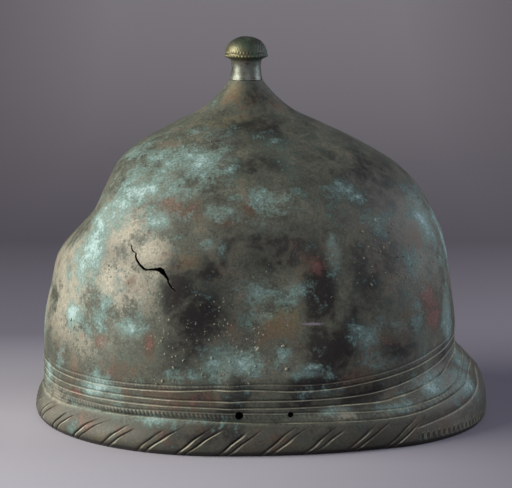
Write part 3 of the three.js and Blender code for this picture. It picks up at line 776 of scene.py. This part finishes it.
def paint(obj, bare_count):
    """Writes where lines, beads, patina, grains and painted light and shade lie as point attributes that
    the bronze reads.
    """
    count = len(obj.data.vertices)
    points, normals = np.zeros((2, count * 3))
    obj.data.vertices.foreach_get("co", points)
    obj.data.vertices.foreach_get("normal", normals)
    points = points.reshape(-1, 3) / MM - (AXIS, 0, 0)
    outside = (normals.reshape(-1, 3)[:, :2] * points[:, :2]).sum(1) > -2
    height = points[:, 2]
    angle = np.arctan2(points[:, 1], points[:, 0] + WIDEST_FORWARD * wall_share(height))
    # Every run of as many points as a grain has takes a tone of its own
    grains = np.arange(count) >= bare_count
    tones = np.random.default_rng(5).random(count // GRAIN_POINTS + 1) * 0.7 + 0.3
    grain_tone = tones[np.arange(count) // GRAIN_POINTS]
    # The pale lower edges of the lines, borders of the arches and lips of the cable are partly rubbed metal
    # and partly painted highlight, and the dark cuts hold soil and partly painted shadow
    _, rubbed, groove = line_relief(angle, height)
    _, arch, arch_edge = arcade_relief(angle, height)
    _, cut, lip = cable_relief(angle, height)
    pale = np.maximum(np.maximum(rubbed, 0.7 * arch_edge), 1.25 * lip)
    sunk = np.maximum(np.maximum(bead_relief(angle, height)[1], groove), tick_relief(angle, height)[1])
    # Painted shade: the underside of the foot is darkened like a cut, for the dark shadow where it meets
    # the floor
    cut = np.maximum(cut, ramp(height, 3.2, 2.3))
    # Painted shade: the band of the rim below the lowest line is marked to be laid darker
    edge = line_height("cable_edge", angle)
    rim = ramp(height, edge, edge - 2)
    tables = {"marks": [channel * (outside & ~grains) for channel in (pale, sunk, 0.6 * arch, cut)],
              "patina_and_painted_light": (patches(points, TURQUOISE), patches(points, PALE_AND_PAINTED_LIGHT), patches(points, RED),
                         grains * grain_tone),
              "soil_and_painted_light": (patches(points, DARK_AND_PAINTED_SHADE), patches(points, CRUST), patches(points, GOLD_AND_PAINTED_HIGHLIGHT), rim)}
    for name, channels in tables.items():
        attribute = obj.data.attributes.new(name, "FLOAT_COLOR", "POINT")
        attribute.data.foreach_set("color", np.stack(channels, -1).astype(np.float32).reshape(-1))


# Materials

def new_material(name):
    material = bpy.data.materials.new(name)
    material.use_nodes = True
    return material, material.node_tree, material.node_tree.nodes["Principled BSDF"]


# How strongly the coarse, the finer and the finest noise tell in a ragged field
FIELD_WEIGHTS = (2.6, 1.2, 0.6)


def ragged_field(t, *noises):
    """Noises added up to one field, 0 in the middle of its range."""
    field = -sum(FIELD_WEIGHTS) / 2
    for noise, weight in zip(noises, FIELD_WEIGHTS):
        field = node(t, "ShaderNodeMath", {0: noise, 1: weight, 2: field},
                     operation="MULTIPLY_ADD").outputs[0]
    return field


def bronze_layers(t, colour, layers):
    """Lays colours over one another where the sum of a layer's amount and field is high enough: the
    colour, and how much each layer covers."""
    covers = []
    for amount, field, start, full, most, tone in layers:
        cover = node(t, "ShaderNodeMath", {0: amount, 1: field}, operation="ADD")
        cover = node(t, "ShaderNodeMapRange", {0: cover.outputs[0], 1: start, 2: full, 4: most},
                     interpolation_type="SMOOTHSTEP")
        covers.append(cover.outputs[0])
        colour = node(t, "ShaderNodeMix", {0: covers[-1], 6: colour, 7: linear(tone)},
                      data_type="RGBA").outputs[2]
    return colour, covers


def crust_dots(t, place, crust):
    """Hard pale specks of crust and dark pits, up to 1.2 mm wide in cells of about 2.3 mm, none quite
    round."""
    loose = node(t, "ShaderNodeTexNoise", {"Vector": place, "Scale": 900, "Detail": 2}).outputs["Color"]
    stirred = node(t, "ShaderNodeVectorMath", {0: (0.0012, 0.0012, 0.0012), 1: loose, 2: place},
                   operation="MULTIPLY_ADD").outputs[0]
    dots = []
    # Cells to a metre, what is taken off a cell's chance of a dot, and where that chance is read
    for scale, least, channel in ((420, -0.24, 0), (470, -0.22, 1)):
        cell = node(t, "ShaderNodeTexVoronoi", {"Vector": stirred, "Scale": scale})
        chance = node(t, "ShaderNodeSeparateColor", {0: cell.outputs["Color"]}).outputs[channel]
        wide = node(t, "ShaderNodeMath", {0: chance, 1: 0.5, 2: least}, operation="MULTIPLY_ADD").outputs[0]
        dot = node(t, "ShaderNodeMath", {0: wide, 1: cell.outputs["Distance"]}, operation="SUBTRACT")
        dot = node(t, "ShaderNodeMapRange", {0: dot.outputs[0], 1: 0.0, 2: 0.1})
        dot = node(t, "ShaderNodeMath", {0: dot.outputs[0], 1: crust}, operation="MULTIPLY")
        dots.append(dot.outputs[0])
    return dots


def flaw_cover(t, place, grain):
    """A short ragged flaw in the near side, about 10 mm long and 1.4 mm high."""
    middle, scale = [-value * MM for value in FLAW_PLACE], [1 / (size * MM) for size in FLAW_SIZE]
    away = node(t, "ShaderNodeVectorMath", {0: place, 1: middle}, operation="ADD")
    away = node(t, "ShaderNodeVectorMath", {0: away.outputs[0], 1: scale}, operation="MULTIPLY")
    away = node(t, "ShaderNodeVectorMath", {0: away.outputs[0]}, operation="LENGTH").outputs["Value"]
    ragged = node(t, "ShaderNodeMath", {0: grain, 1: 2.2, 2: away}, operation="MULTIPLY_ADD")
    return node(t, "ShaderNodeMapRange", {0: ragged.outputs[0], 1: 2.15, 2: 1.85}).outputs[0]


def patinated_bronze():
    """Tin bronze raised from sheet and long buried: olive and brown oxide, matt green carbonate in ragged
    patches and thin veils, paler places that are partly rubbed metal and partly painted light, golden
    patches that are partly painted highlight, dark patches that are partly painted shade, the rim's band
    and the foot's underside painted darker as shade, red spots and specks of crust."""
    material, t, shader = new_material("patinated_bronze")
    place = node(t, "ShaderNodeTexCoord").outputs["Object"]
    marks = node(t, "ShaderNodeAttribute", attribute_name="marks")
    patina_and_painted_light = node(t, "ShaderNodeAttribute", attribute_name="patina_and_painted_light")
    soil_and_painted_light = node(t, "ShaderNodeAttribute", attribute_name="soil_and_painted_light")
    pale, sunk, arch = node(t, "ShaderNodeSeparateColor", {0: marks.outputs["Color"]}).outputs
    turquoise, cream, red = node(t, "ShaderNodeSeparateColor", {0: patina_and_painted_light.outputs["Color"]}).outputs
    dark, crust, gold = node(t, "ShaderNodeSeparateColor", {0: soil_and_painted_light.outputs["Color"]}).outputs
    rim = soil_and_painted_light.outputs["Alpha"]

    # Clouds about 20 mm across, patches of 12 mm, blots of 5 mm, grains of 1.2 mm, and elsewhere
    # patches of 17 mm
    elsewhere = node(t, "ShaderNodeVectorMath", {0: place, 1: (0.37, 0.91, 0.55)},
                     operation="ADD").outputs[0]
    noises = []
    for at, scale, detail, roughness, distortion in (
            (place, 48, 6, 0.6, 0.4), (place, 85, 10, 0.68, 0.3), (place, 210, 7, 0.7, 0),
            (place, 850, 3, 0.6, 0), (elsewhere, 60, 9, 0.66, 0)):
        noise = node(t, "ShaderNodeTexNoise", {"Vector": at, "Scale": scale, "Detail": detail,
                                               "Roughness": roughness, "Distortion": distortion})
        noises.append(noise.outputs[0])
    cloud, patch, blot, grain, second = noises
    ragged, other = ragged_field(t, patch, blot, grain), ragged_field(t, second, blot, grain)
    soft = node(t, "ShaderNodeMath", {0: blot, 1: 0.7, 2: -0.35}, operation="MULTIPLY_ADD").outputs[0]

    shade = node(t, "ShaderNodeMapRange", {0: other, 1: -0.5, 2: 0.5})
    colour = node(t, "ShaderNodeMix", {0: shade.outputs[0], 6: linear("#3f4037"), 7: linear("#626759")},
                  data_type="RGBA").outputs[2]
    # Each layer: how much of it lies here, the field that breaks it up, the sum where it starts
    # and where it is full, its greatest cover and its colour
    layers = [(cloud, ragged, 0.45, 0.95, 0.6, "#5a6b5e"),
              # Golden bronze, partly painted highlight and reflection
              (gold, other, 0.3, 1.0, 0.7, "#6f6542"),
              (turquoise, soft, 0.24, 0.85, 0.7, "#7d8f85"),
              # Pale places: partly rubbed metal, partly painted light
              (cream, other, 0.1, 0.9, 0.9, "#a29f8e"),
              (cream, ragged, 0.8, 1.2, 0.5, "#a5998b"),
              # Painted shade: the rim's band laid darker
              (rim, other, 0.4, 1.15, 0.7, "#36332b"),
              (red, other, 0.1, 0.6, 0.7, "#54402f"),
              # Dark oxide, partly painted shade
              (dark, ragged, 0.18, 0.85, 0.96, "#17110d"),
              (red, other, 0.5, 0.95, 0.62, "#79504a"),
              (turquoise, ragged, 0.22, 0.8, 0.75, "#6b8781"),
              (turquoise, ragged, 0.64, 1.25, 0.85, "#a3bebc")]
    colour, covers = bronze_layers(t, colour, layers)
    green = covers[-2]

    # Lines stand out pale along one edge, partly rubbed metal and partly painted highlight, and cuts and
    # hollows keep dark soil, partly painted shadow; the foot's underside is painted dark as shade
    worn = node(t, "ShaderNodeMath", {0: pale, 1: patch}, operation="MULTIPLY")
    worn = node(t, "ShaderNodeMapRange", {0: worn.outputs[0], 1: 0.17, 2: 0.48, 4: 0.85}).outputs[0]
    hollow_and_painted_shade = sunk
    for deep in (arch, marks.outputs["Alpha"]):
        hollow_and_painted_shade = node(t, "ShaderNodeMath", {0: hollow_and_painted_shade, 1: deep}, operation="MAXIMUM").outputs[0]
    hollow_and_painted_shade = node(t, "ShaderNodeMath", {0: hollow_and_painted_shade, 1: 0.9}, operation="MULTIPLY").outputs[0]
    chip = node(t, "ShaderNodeMath", {0: patina_and_painted_light.outputs["Alpha"], 1: 0.5}, operation="MULTIPLY").outputs[0]
    speck, pit = crust_dots(t, place, crust)
    for cover, tone in ((pit, "#211b16"), (speck, "#b9b59d"), (chip, "#aba890"), (worn, "#aaa993"),
                        (hollow_and_painted_shade, "#1d1915"), (flaw_cover(t, place, grain), "#756e7c")):
        colour = node(t, "ShaderNodeMix", {0: cover, 6: colour, 7: linear(tone)},
                      data_type="RGBA").outputs[2]
    # Grain darkens and lightens everything a little, like pores
    pore = node(t, "ShaderNodeMapRange", {0: grain, 1: 0.3, 2: 0.7, 3: 0.74, 4: 1.26})
    colour = node(t, "ShaderNodeMix", {0: 1.0, 6: colour, 7: pore.outputs[0]}, data_type="RGBA",
                  blend_type="MULTIPLY")

    # Carbonate is matt and no longer metallic, and it, the grain and the specks stand up a little
    rough = node(t, "ShaderNodeMapRange", {0: green, 3: 0.56, 4: 0.84})
    metal = node(t, "ShaderNodeMapRange", {0: green, 3: 0.14, 4: 0.0})
    height = blot
    for part, weight in ((grain, 0.35), (green, 0.2), (speck, 1.5)):
        height = node(t, "ShaderNodeMath", {0: part, 1: weight, 2: height},
                      operation="MULTIPLY_ADD").outputs[0]
    bump = node(t, "ShaderNodeBump", {"Height": height, "Strength": 0.5, "Distance": 0.0004})
    feed(t, shader, {"Base Color": colour.outputs[2], "Roughness": rough.outputs[0],
                     "Metallic": metal.outputs[0], "Normal": bump.outputs[0]})
    return material


def clouded(t, place, dark, light, green, scale):
    """Two tones in clouds with green in ragged patches: the colour, the clouds, the patches, the grain."""
    noises = []
    for fine, detail, roughness in ((1, 8, 0.65), (5, 5, 0.7)):
        noise = node(t, "ShaderNodeTexNoise", {"Vector": place, "Scale": scale * fine, "Detail": detail,
                                               "Roughness": roughness})
        noises.append(noise.outputs[0])
    cloud, grain = noises
    shade = node(t, "ShaderNodeMapRange", {0: cloud, 1: 0.35, 2: 0.65}).outputs[0]
    patch = node(t, "ShaderNodeMath", {0: cloud, 1: grain}, operation="ADD")
    patch = node(t, "ShaderNodeMapRange", {0: patch.outputs[0], 1: 0.98, 2: 1.15}).outputs[0]
    colour = linear(dark)
    for cover, tone in ((shade, light), (patch, green)):
        colour = node(t, "ShaderNodeMix", {0: cover, 6: colour, 7: linear(tone)},
                      data_type="RGBA").outputs[2]
    return colour, shade, patch, grain


def plain_patina(name, dark, light, green, roughness, metallic, scale):
    """Metal with a cloudy patina and a little green, or for lead a white bloom, in ragged patches."""
    material, t, shader = new_material(name)
    place = node(t, "ShaderNodeTexCoord").outputs["Object"]
    colour, _, _, grain = clouded(t, place, dark, light, green, scale)
    rough = node(t, "ShaderNodeMath", {0: grain, 1: 0.25, 2: roughness - 0.12}, operation="MULTIPLY_ADD")
    bump = node(t, "ShaderNodeBump", {"Height": grain, "Strength": 0.5, "Distance": 0.0002})
    feed(t, shader, {"Base Color": colour, "Roughness": rough.outputs[0], "Metallic": metallic,
                     "Normal": bump.outputs[0]})
    return material


def handled_bronze():
    """Cast tin bronze under a dark green patina: rubbed to olive on one side of the cap, and down the
    stem, where hands have held it, worn smooth to brown and grey metal that takes a highlight."""
    material, t, shader = new_material("handled_knob_bronze")
    place = node(t, "ShaderNodeTexCoord").outputs["Object"]
    colour, shade, patch, grain = clouded(t, place, "#232921", "#4a5140", "#35503f", 220)
    to_cap = (-AXIS * MM, 0, -(KNOB_SEAT + KNOB_CAP_RISE + 2) * MM)
    from_cap = node(t, "ShaderNodeVectorMath", {0: place, 1: to_cap}, operation="ADD").outputs[0]
    facing = node(t, "ShaderNodeVectorMath", {0: from_cap, 1: HANDLED_WAY}, operation="DOT_PRODUCT")
    rubbed = node(t, "ShaderNodeMath", {0: grain, 1: 0.012, 2: facing.outputs["Value"]},
                  operation="MULTIPLY_ADD")
    rubbed = node(t, "ShaderNodeMapRange", {0: rubbed.outputs[0], 1: 0.011, 2: 0.016, 4: 0.85}).outputs[0]
    up = node(t, "ShaderNodeSeparateXYZ", {0: place}).outputs[2]
    stem = node(t, "ShaderNodeMapRange", {0: up, 1: (KNOB_SEAT + 12) * MM, 2: (KNOB_SEAT + 9.5) * MM})
    tone = node(t, "ShaderNodeMix", {0: shade, 6: linear("#4d3f35"), 7: linear("#829089")},
                data_type="RGBA").outputs[2]
    held = node(t, "ShaderNodeMapRange", {0: patch, 3: 1.0, 4: 0.35}).outputs[0]
    held = node(t, "ShaderNodeMath", {0: held, 1: stem.outputs[0]}, operation="MULTIPLY").outputs[0]
    for cover, finish in ((rubbed, linear("#6f6b4d")), (held, tone)):
        colour = node(t, "ShaderNodeMix", {0: cover, 6: colour, 7: finish}, data_type="RGBA").outputs[2]
    bare = node(t, "ShaderNodeMath", {0: rubbed, 1: held}, operation="MAXIMUM").outputs[0]
    rough = node(t, "ShaderNodeMath", {0: grain, 1: 0.2, 2: 0.38}, operation="MULTIPLY_ADD")
    rough = node(t, "ShaderNodeMath", {0: bare, 1: -0.14, 2: rough.outputs[0]}, operation="MULTIPLY_ADD")
    metal = node(t, "ShaderNodeMapRange", {0: bare, 3: 0.2, 4: 0.6})
    bump = node(t, "ShaderNodeBump", {"Height": grain, "Strength": 0.5, "Distance": 0.0002})
    feed(t, shader, {"Base Color": colour, "Roughness": rough.outputs[0], "Metallic": metal.outputs[0],
                     "Normal": bump.outputs[0]})
    return material


# The knob, its core, the pin and the ring

KNOB_PROFILE = [(9.2, 0), (8.95, 1.2), (8.6, 3), (8.3, 6.1), (8.25, 8), (8.4, 9.6), (8.7, 10.8),
                (9.7, 11.6), (11, 12.2), (11.7, 12.5), (12, 12.9), (12.1, 13.3), (12, 13.7), (11.8, 14),
                (11.7, 14.3), (11.7, 14.7)]
PETALS, PETAL_RANKS = 7, 2
# Two rows of beads on the cap: the height of each, how far it stands out, and its turn in beads
CAP_BEADS, CAP_BEAD_ROWS = 40, ((13.2, 0.55, 0), (15.3, 0.4, 0.5))
KNOB_COLUMNS = 360


def petal_relief(angle, turn):
    """Overlapping petals in ranks over the cap, each chased with arcs one inside the other."""
    rank = turn / (math.pi / 2) * PETAL_RANKS
    row = math.floor(rank)
    across = np.abs((angle * PETALS / (2 * np.pi) + 0.5 * row) % 1 - 0.5) * 2
    reach = np.sqrt(across ** 2 + (rank - row) ** 2)
    arcs = sum(ridge(reach - place, 0.07) for place in (0.97, 0.74, 0.51))
    return 0.2 * (1 - np.minimum(reach, 1)) - 0.28 * arcs


def knob_mesh():
    """Cast knob: waisted stem, two rows of beads on the cap's rim and a cap chased with petals."""
    profile = [(radius, up, None) for radius, up in smooth_curve(KNOB_PROFILE, 46)]
    for share in np.linspace(0.03, 1, 44):
        turn = share * math.acos(KNOB_HOLE / KNOB_CAP_RADIUS)
        up = blend(KNOB_CAP_RISE, KNOB_HEIGHT, math.sin(turn))
        profile.append((KNOB_CAP_RADIUS * math.cos(turn), up, turn))
    profile += [(KNOB_HOLE, 21, None), (CROWN_BORE, 18, None), (CROWN_BORE, 9, None), (CROWN_BORE, 0, None)]
    angle = even_angles(KNOB_COLUMNS)
    # The petals on the handled side are rubbed away, but not near the hole
    handled = ramp(np.cos(angle - math.atan2(HANDLED_WAY[1], HANDLED_WAY[0])), 0.25, 0.75)
    rings = []
    for radius, up, turn in profile:
        out = radius + 0 * angle
        if turn and up > KNOB_CAP_RISE + 1.6:
            worn = 1 - 0.8 * handled * ramp(turn, 1, 0.6)
            out += petal_relief(angle, turn) * min((KNOB_HEIGHT - up) / 0.8, 1) * worn
        if radius > KNOB_CAP_RADIUS - 1:
            for place, size, shift in CAP_BEAD_ROWS:
                bead = np.abs(np.cos(angle * CAP_BEADS / 2 + shift * np.pi)) - 0.55
                out += ridge(up - place, 0.5) * size * bead
        rings.append(np.stack([out * np.cos(angle), out * np.sin(angle), KNOB_SEAT + up + 0 * angle], -1))
    knob = tube_of(np.array(rings), "knob")
    bridge(knob, CROWN_HEIGHT - 1, CROWN_HEIGHT + 1)
    return knob


def lathe(profile, steps, name, place=(0, 0, 0)):
    """A closed turned form from radius and height in millimetres, spun about its own upright."""
    bpy.ops.object.select_all(action="DESELECT")
    bpy.ops.mesh.primitive_circle_add(vertices=len(profile), radius=1, fill_type="NOTHING")
    made = bpy.context.object
    made.name = name
    for vertex, (radius, up) in zip(made.data.vertices, profile):
        vertex.co = Vector(((radius + place[0]) * MM, place[1] * MM, (up + place[2]) * MM))
    edit_all(made)
    bpy.ops.mesh.spin(steps=steps, angle=2 * math.pi, center=Vector(place) * MM, axis=(0, 0, 1))
    bpy.ops.mesh.select_all(action="SELECT")
    bpy.ops.mesh.remove_doubles(threshold=2e-6)
    bpy.ops.object.mode_set(mode="OBJECT")
    return made


def core_mesh():
    """Lead run into the knob and spread out under the crown, with a socket for the crest's pin."""
    radius, flange, socket, socket_depth = CROWN_BORE - 0.3, 12, 1.9, 14
    under = CROWN_HEIGHT - CROWN_THICKNESS
    slope = (CROWN_INNER_DROP - CROWN_THICKNESS) / (CROWN_INNER_RADIUS - CROWN_BORE)
    seat = [under - slope * (reach - CROWN_BORE) - 0.6 for reach in (radius, flange)]
    top = KNOB_SEAT + KNOB_HEIGHT - 6.3
    profile = [(0, seat[1] - 6), (4, seat[1] - 5.8), (7.5, seat[1] - 5.1), (10.4, seat[1] - 3.4),
               (11.6, seat[1] - 1.6), (flange, seat[1]), (radius, seat[0]), (radius, top - 0.6),
               (radius - 0.6, top), (socket + 0.2, top), (socket, top - 0.2), (socket, top - socket_depth),
               (0, top - socket_depth)]
    return lathe(profile, 72, "core", (AXIS, 0, 0))


def wire_ring(radius, wire, centre, turned):
    """A closed ring of round wire about a centre, all in millimetres in the frame."""
    bpy.ops.object.select_all(action="DESELECT")
    bpy.ops.mesh.primitive_torus_add(major_segments=96, minor_segments=20, major_radius=radius * MM,
                                     minor_radius=wire * MM, location=(0, 0, 0), rotation=turned)
    ring = bpy.context.object
    only(ring)
    bpy.ops.object.transform_apply(location=False, rotation=True, scale=True)
    for vertex in ring.data.vertices:
        vertex.co += Vector(centre) * MM
    return ring


def pin_seat():
    """Where the pin's head lies in the guard, and the way it faces."""
    face, normal, _, _ = surface_frame(0, PIN_HEIGHT)
    return face + (AXIS, 0, 0), normal


def pin_mesh():
    """Split pin: a hammered head flush with the guard, a shank and the eye under it."""
    face, normal = pin_seat()
    depth = rim_depth(PIN_HEIGHT / GUARD_HEIGHT) + 0.3
    centre = face - normal * (depth + EYE_RADIUS + EYE_WIRE)
    eye = wire_ring(EYE_RADIUS, EYE_WIRE, centre, (math.pi / 2, 0, 0))
    profile = [(0, -depth - 0.8), (1.2, -depth - 0.8), (1.4, -depth - 0.5), (1.4, -1.1), (2.5, 0), (1.6, 0),
               (0, 0)]
    shank = lathe(profile, 32, "shank")
    turn = Vector((0, 0, 1)).rotation_difference(Vector(normal))
    for vertex in shank.data.vertices:
        vertex.co = turn @ vertex.co + Vector(face) * MM
    combine(eye, shank, "UNION")
    return eye, centre


# The pieces

bronze = patinated_bronze()
knob_bronze = handled_bronze()
# Cast lead: dull grey metal under a paler bloom
lead = plain_patina("oxidised_lead", "#4a4c4e", "#74767a", "#8a8c90", 0.7, 0.3, 180)
# Bronze wire that hangs and rubs: dark and half bright, with green left in patches
pin_bronze = plain_patina("worn_dark_bronze", "#39362d", "#5a5544", "#5c7268", 0.5, 0.5, 400)

bowl = bowl_mesh()
finish_mesh(bowl, 50)
combine(bowl, crack_cutter(), "DIFFERENCE")
for radius, behind in RIVET_HOLES:
    near, far = (AXIS + behind, -DRILL_REACH, RIVET_HEIGHT), (AXIS + behind, DRILL_REACH, RIVET_HEIGHT)
    combine(bowl, rod(radius, near, far), "DIFFERENCE")
pin_face, pin_way = pin_seat()
combine(bowl, rod(PIN_HOLE, pin_face - pin_way * 10, pin_face + pin_way * 5), "DIFFERENCE")
bare_count = len(bowl.data.vertices)
crust_grains(bowl)
finish_mesh(bowl, 62)
paint(bowl, bare_count)
show_as(bowl, "bowl_shell", "helmet", bronze, ["bowl"])

knob = knob_mesh()
finish_mesh(knob, 40)
show_as(knob, "crest_knob_cast", "helmet", knob_bronze, ["crest_knob"])

core = core_mesh()
finish_mesh(core, 40)
show_as(core, "lead_core", "helmet", lead, ["knob_core"])

pin, eye_centre = pin_mesh()
finish_mesh(pin, 40)
show_as(pin, "split_pin", "helmet", pin_bronze, ["neck_ring_pin"])

ring_centre = (eye_centre[0], 0, eye_centre[2] - RING_RADIUS)
ring = wire_ring(RING_RADIUS, RING_WIRE, ring_centre, (0, math.pi / 2, 0))
finish_mesh(ring, 60)
show_as(ring, "hanging_ring", "ring", pin_bronze, ["neck_ring"])

# Floor, light and camera

# The paper lies flat for this far from its front edge and then curves up (metres)
PAPER_FRONT, PAPER_FLAT, PAPER_CURVE, PAPER_RUN, PAPER_HALF = -5.0, 6.2, 1.2, 9, 6


def studio():
    """A pale floor of matt paper that curves up into a darker backdrop and takes a soft shadow."""
    material, t, shader = new_material("pale_studio_paper")
    place = node(t, "ShaderNodeTexCoord").outputs["Object"]
    x, y, _ = node(t, "ShaderNodeSeparateXYZ", {0: place}).outputs
    aside = node(t, "ShaderNodeMath", {0: x}, operation="ABSOLUTE").outputs[0]
    colour = linear("#c3c2cb")
    # Painted light and shade: the paper is painted darker to the right, the helmet's shadow side, and
    # behind the helmet, lighter again up the backdrop, and darker far to either side, as if less light
    # reached there: which way, from where to where in metres, how much, and the tone
    for way, start, end, most, tone in (
            (x, -0.13, 0.17, 1, "#797782"), (y, -0.02, 0.19, 1, "#767480"), (y, 0.19, 0.56, 1, "#55525b"),
            (y, 0.56, 1.4, 1, "#706e76"), (y, 1.4, 1.8, 1, "#7f7d85"), (aside, 0.22, 0.42, 0.4, "#3b383f")):
        cover = node(t, "ShaderNodeMapRange", {0: way, 1: start, 2: end, 4: most}).outputs[0]
        colour = node(t, "ShaderNodeMix", {0: cover, 6: colour, 7: linear(tone)},
                      data_type="RGBA").outputs[2]
    feed(t, shader, {"Base Color": colour, "Roughness": 0.9, "Specular IOR Level": 0.1})
    bpy.ops.object.select_all(action="DESELECT")
    bpy.ops.mesh.primitive_grid_add(x_subdivisions=8, y_subdivisions=90, size=2)
    paper = bpy.context.object
    for vertex in paper.data.vertices:
        x, run = vertex.co.x * PAPER_HALF, (vertex.co.y + 1) / 2 * PAPER_RUN
        bend = max(run - PAPER_FLAT, 0)
        turn = min(bend / PAPER_CURVE, math.pi / 2)
        y = PAPER_FRONT + min(run, PAPER_FLAT) + PAPER_CURVE * math.sin(turn)
        z = PAPER_CURVE * (1 - math.cos(turn)) + max(bend - PAPER_CURVE * math.pi / 2, 0)
        vertex.co = Vector((x, y, z))
    only(paper)
    bpy.ops.object.shade_smooth()
    paper.name = "studio_paper"
    paper.data.materials.append(material)


def lamp(kind, name, place, aim, strength, colour, **sizes):
    """Adds a lamp at a place in metres, turned to what it lights."""
    light = bpy.data.lights.new(name, kind)
    for setting, value in sizes.items():
        setattr(light, setting, value)
    light.energy = strength
    light.color = linear(colour)[:3]
    obj = bpy.data.objects.new(name, light)
    bpy.context.scene.collection.objects.link(obj)
    obj.location = Vector(place)
    obj.rotation_mode = "QUATERNION"
    obj.rotation_quaternion = (Vector(place) - Vector(aim)).to_track_quat("Z", "Y")


studio()
# A broad soft light from the upper left, a weak one from the right and a weak one in front
lamp("SUN", "key", (-1.4, -0.32, 0.68), (0, 0, 0.1), 4.8, "#fffaf0", angle=0.85)
lamp("AREA", "rim", (1.35, 0.2, 0.6), (0.05, 0, 0.08), 9.5, "#f2f4ff", shape="RECTANGLE", size=1, size_y=1)
lamp("AREA", "fill", (0.4, -1.6, 0.9), (0, 0, 0.1), 3.6, "#f4f2ff", shape="RECTANGLE", size=1.4, size_y=1)
world = bpy.data.worlds.new("studio_air")
world.use_nodes = True
feed(world.node_tree, world.node_tree.nodes["Background"], {"Color": linear("#b9b7c4"), "Strength": 0.35})
bpy.context.scene.world = world

camera_data = bpy.data.cameras.new("camera")
camera = bpy.data.objects.new("camera", camera_data)
bpy.context.scene.collection.objects.link(camera)
target = Vector((AXIS + (IMAGE_WIDTH / 2 - AXIS_PIXEL) / PIXELS_PER_MM, 0, CAMERA_TARGET_HEIGHT)) * MM
camera.location = target + Vector((0, -math.cos(CAMERA_RISE), math.sin(CAMERA_RISE))) * CAMERA_DISTANCE * MM
camera.rotation_euler = (math.pi / 2 - CAMERA_RISE, 0, 0)
camera_data.sensor_width = FILM_WIDTH
camera_data.lens = FILM_WIDTH * PIXELS_PER_MM * CAMERA_DISTANCE / IMAGE_WIDTH
camera_data.clip_end = 20
bpy.context.scene.camera = camera
bpy.context.scene.view_settings.view_transform = "Standard"
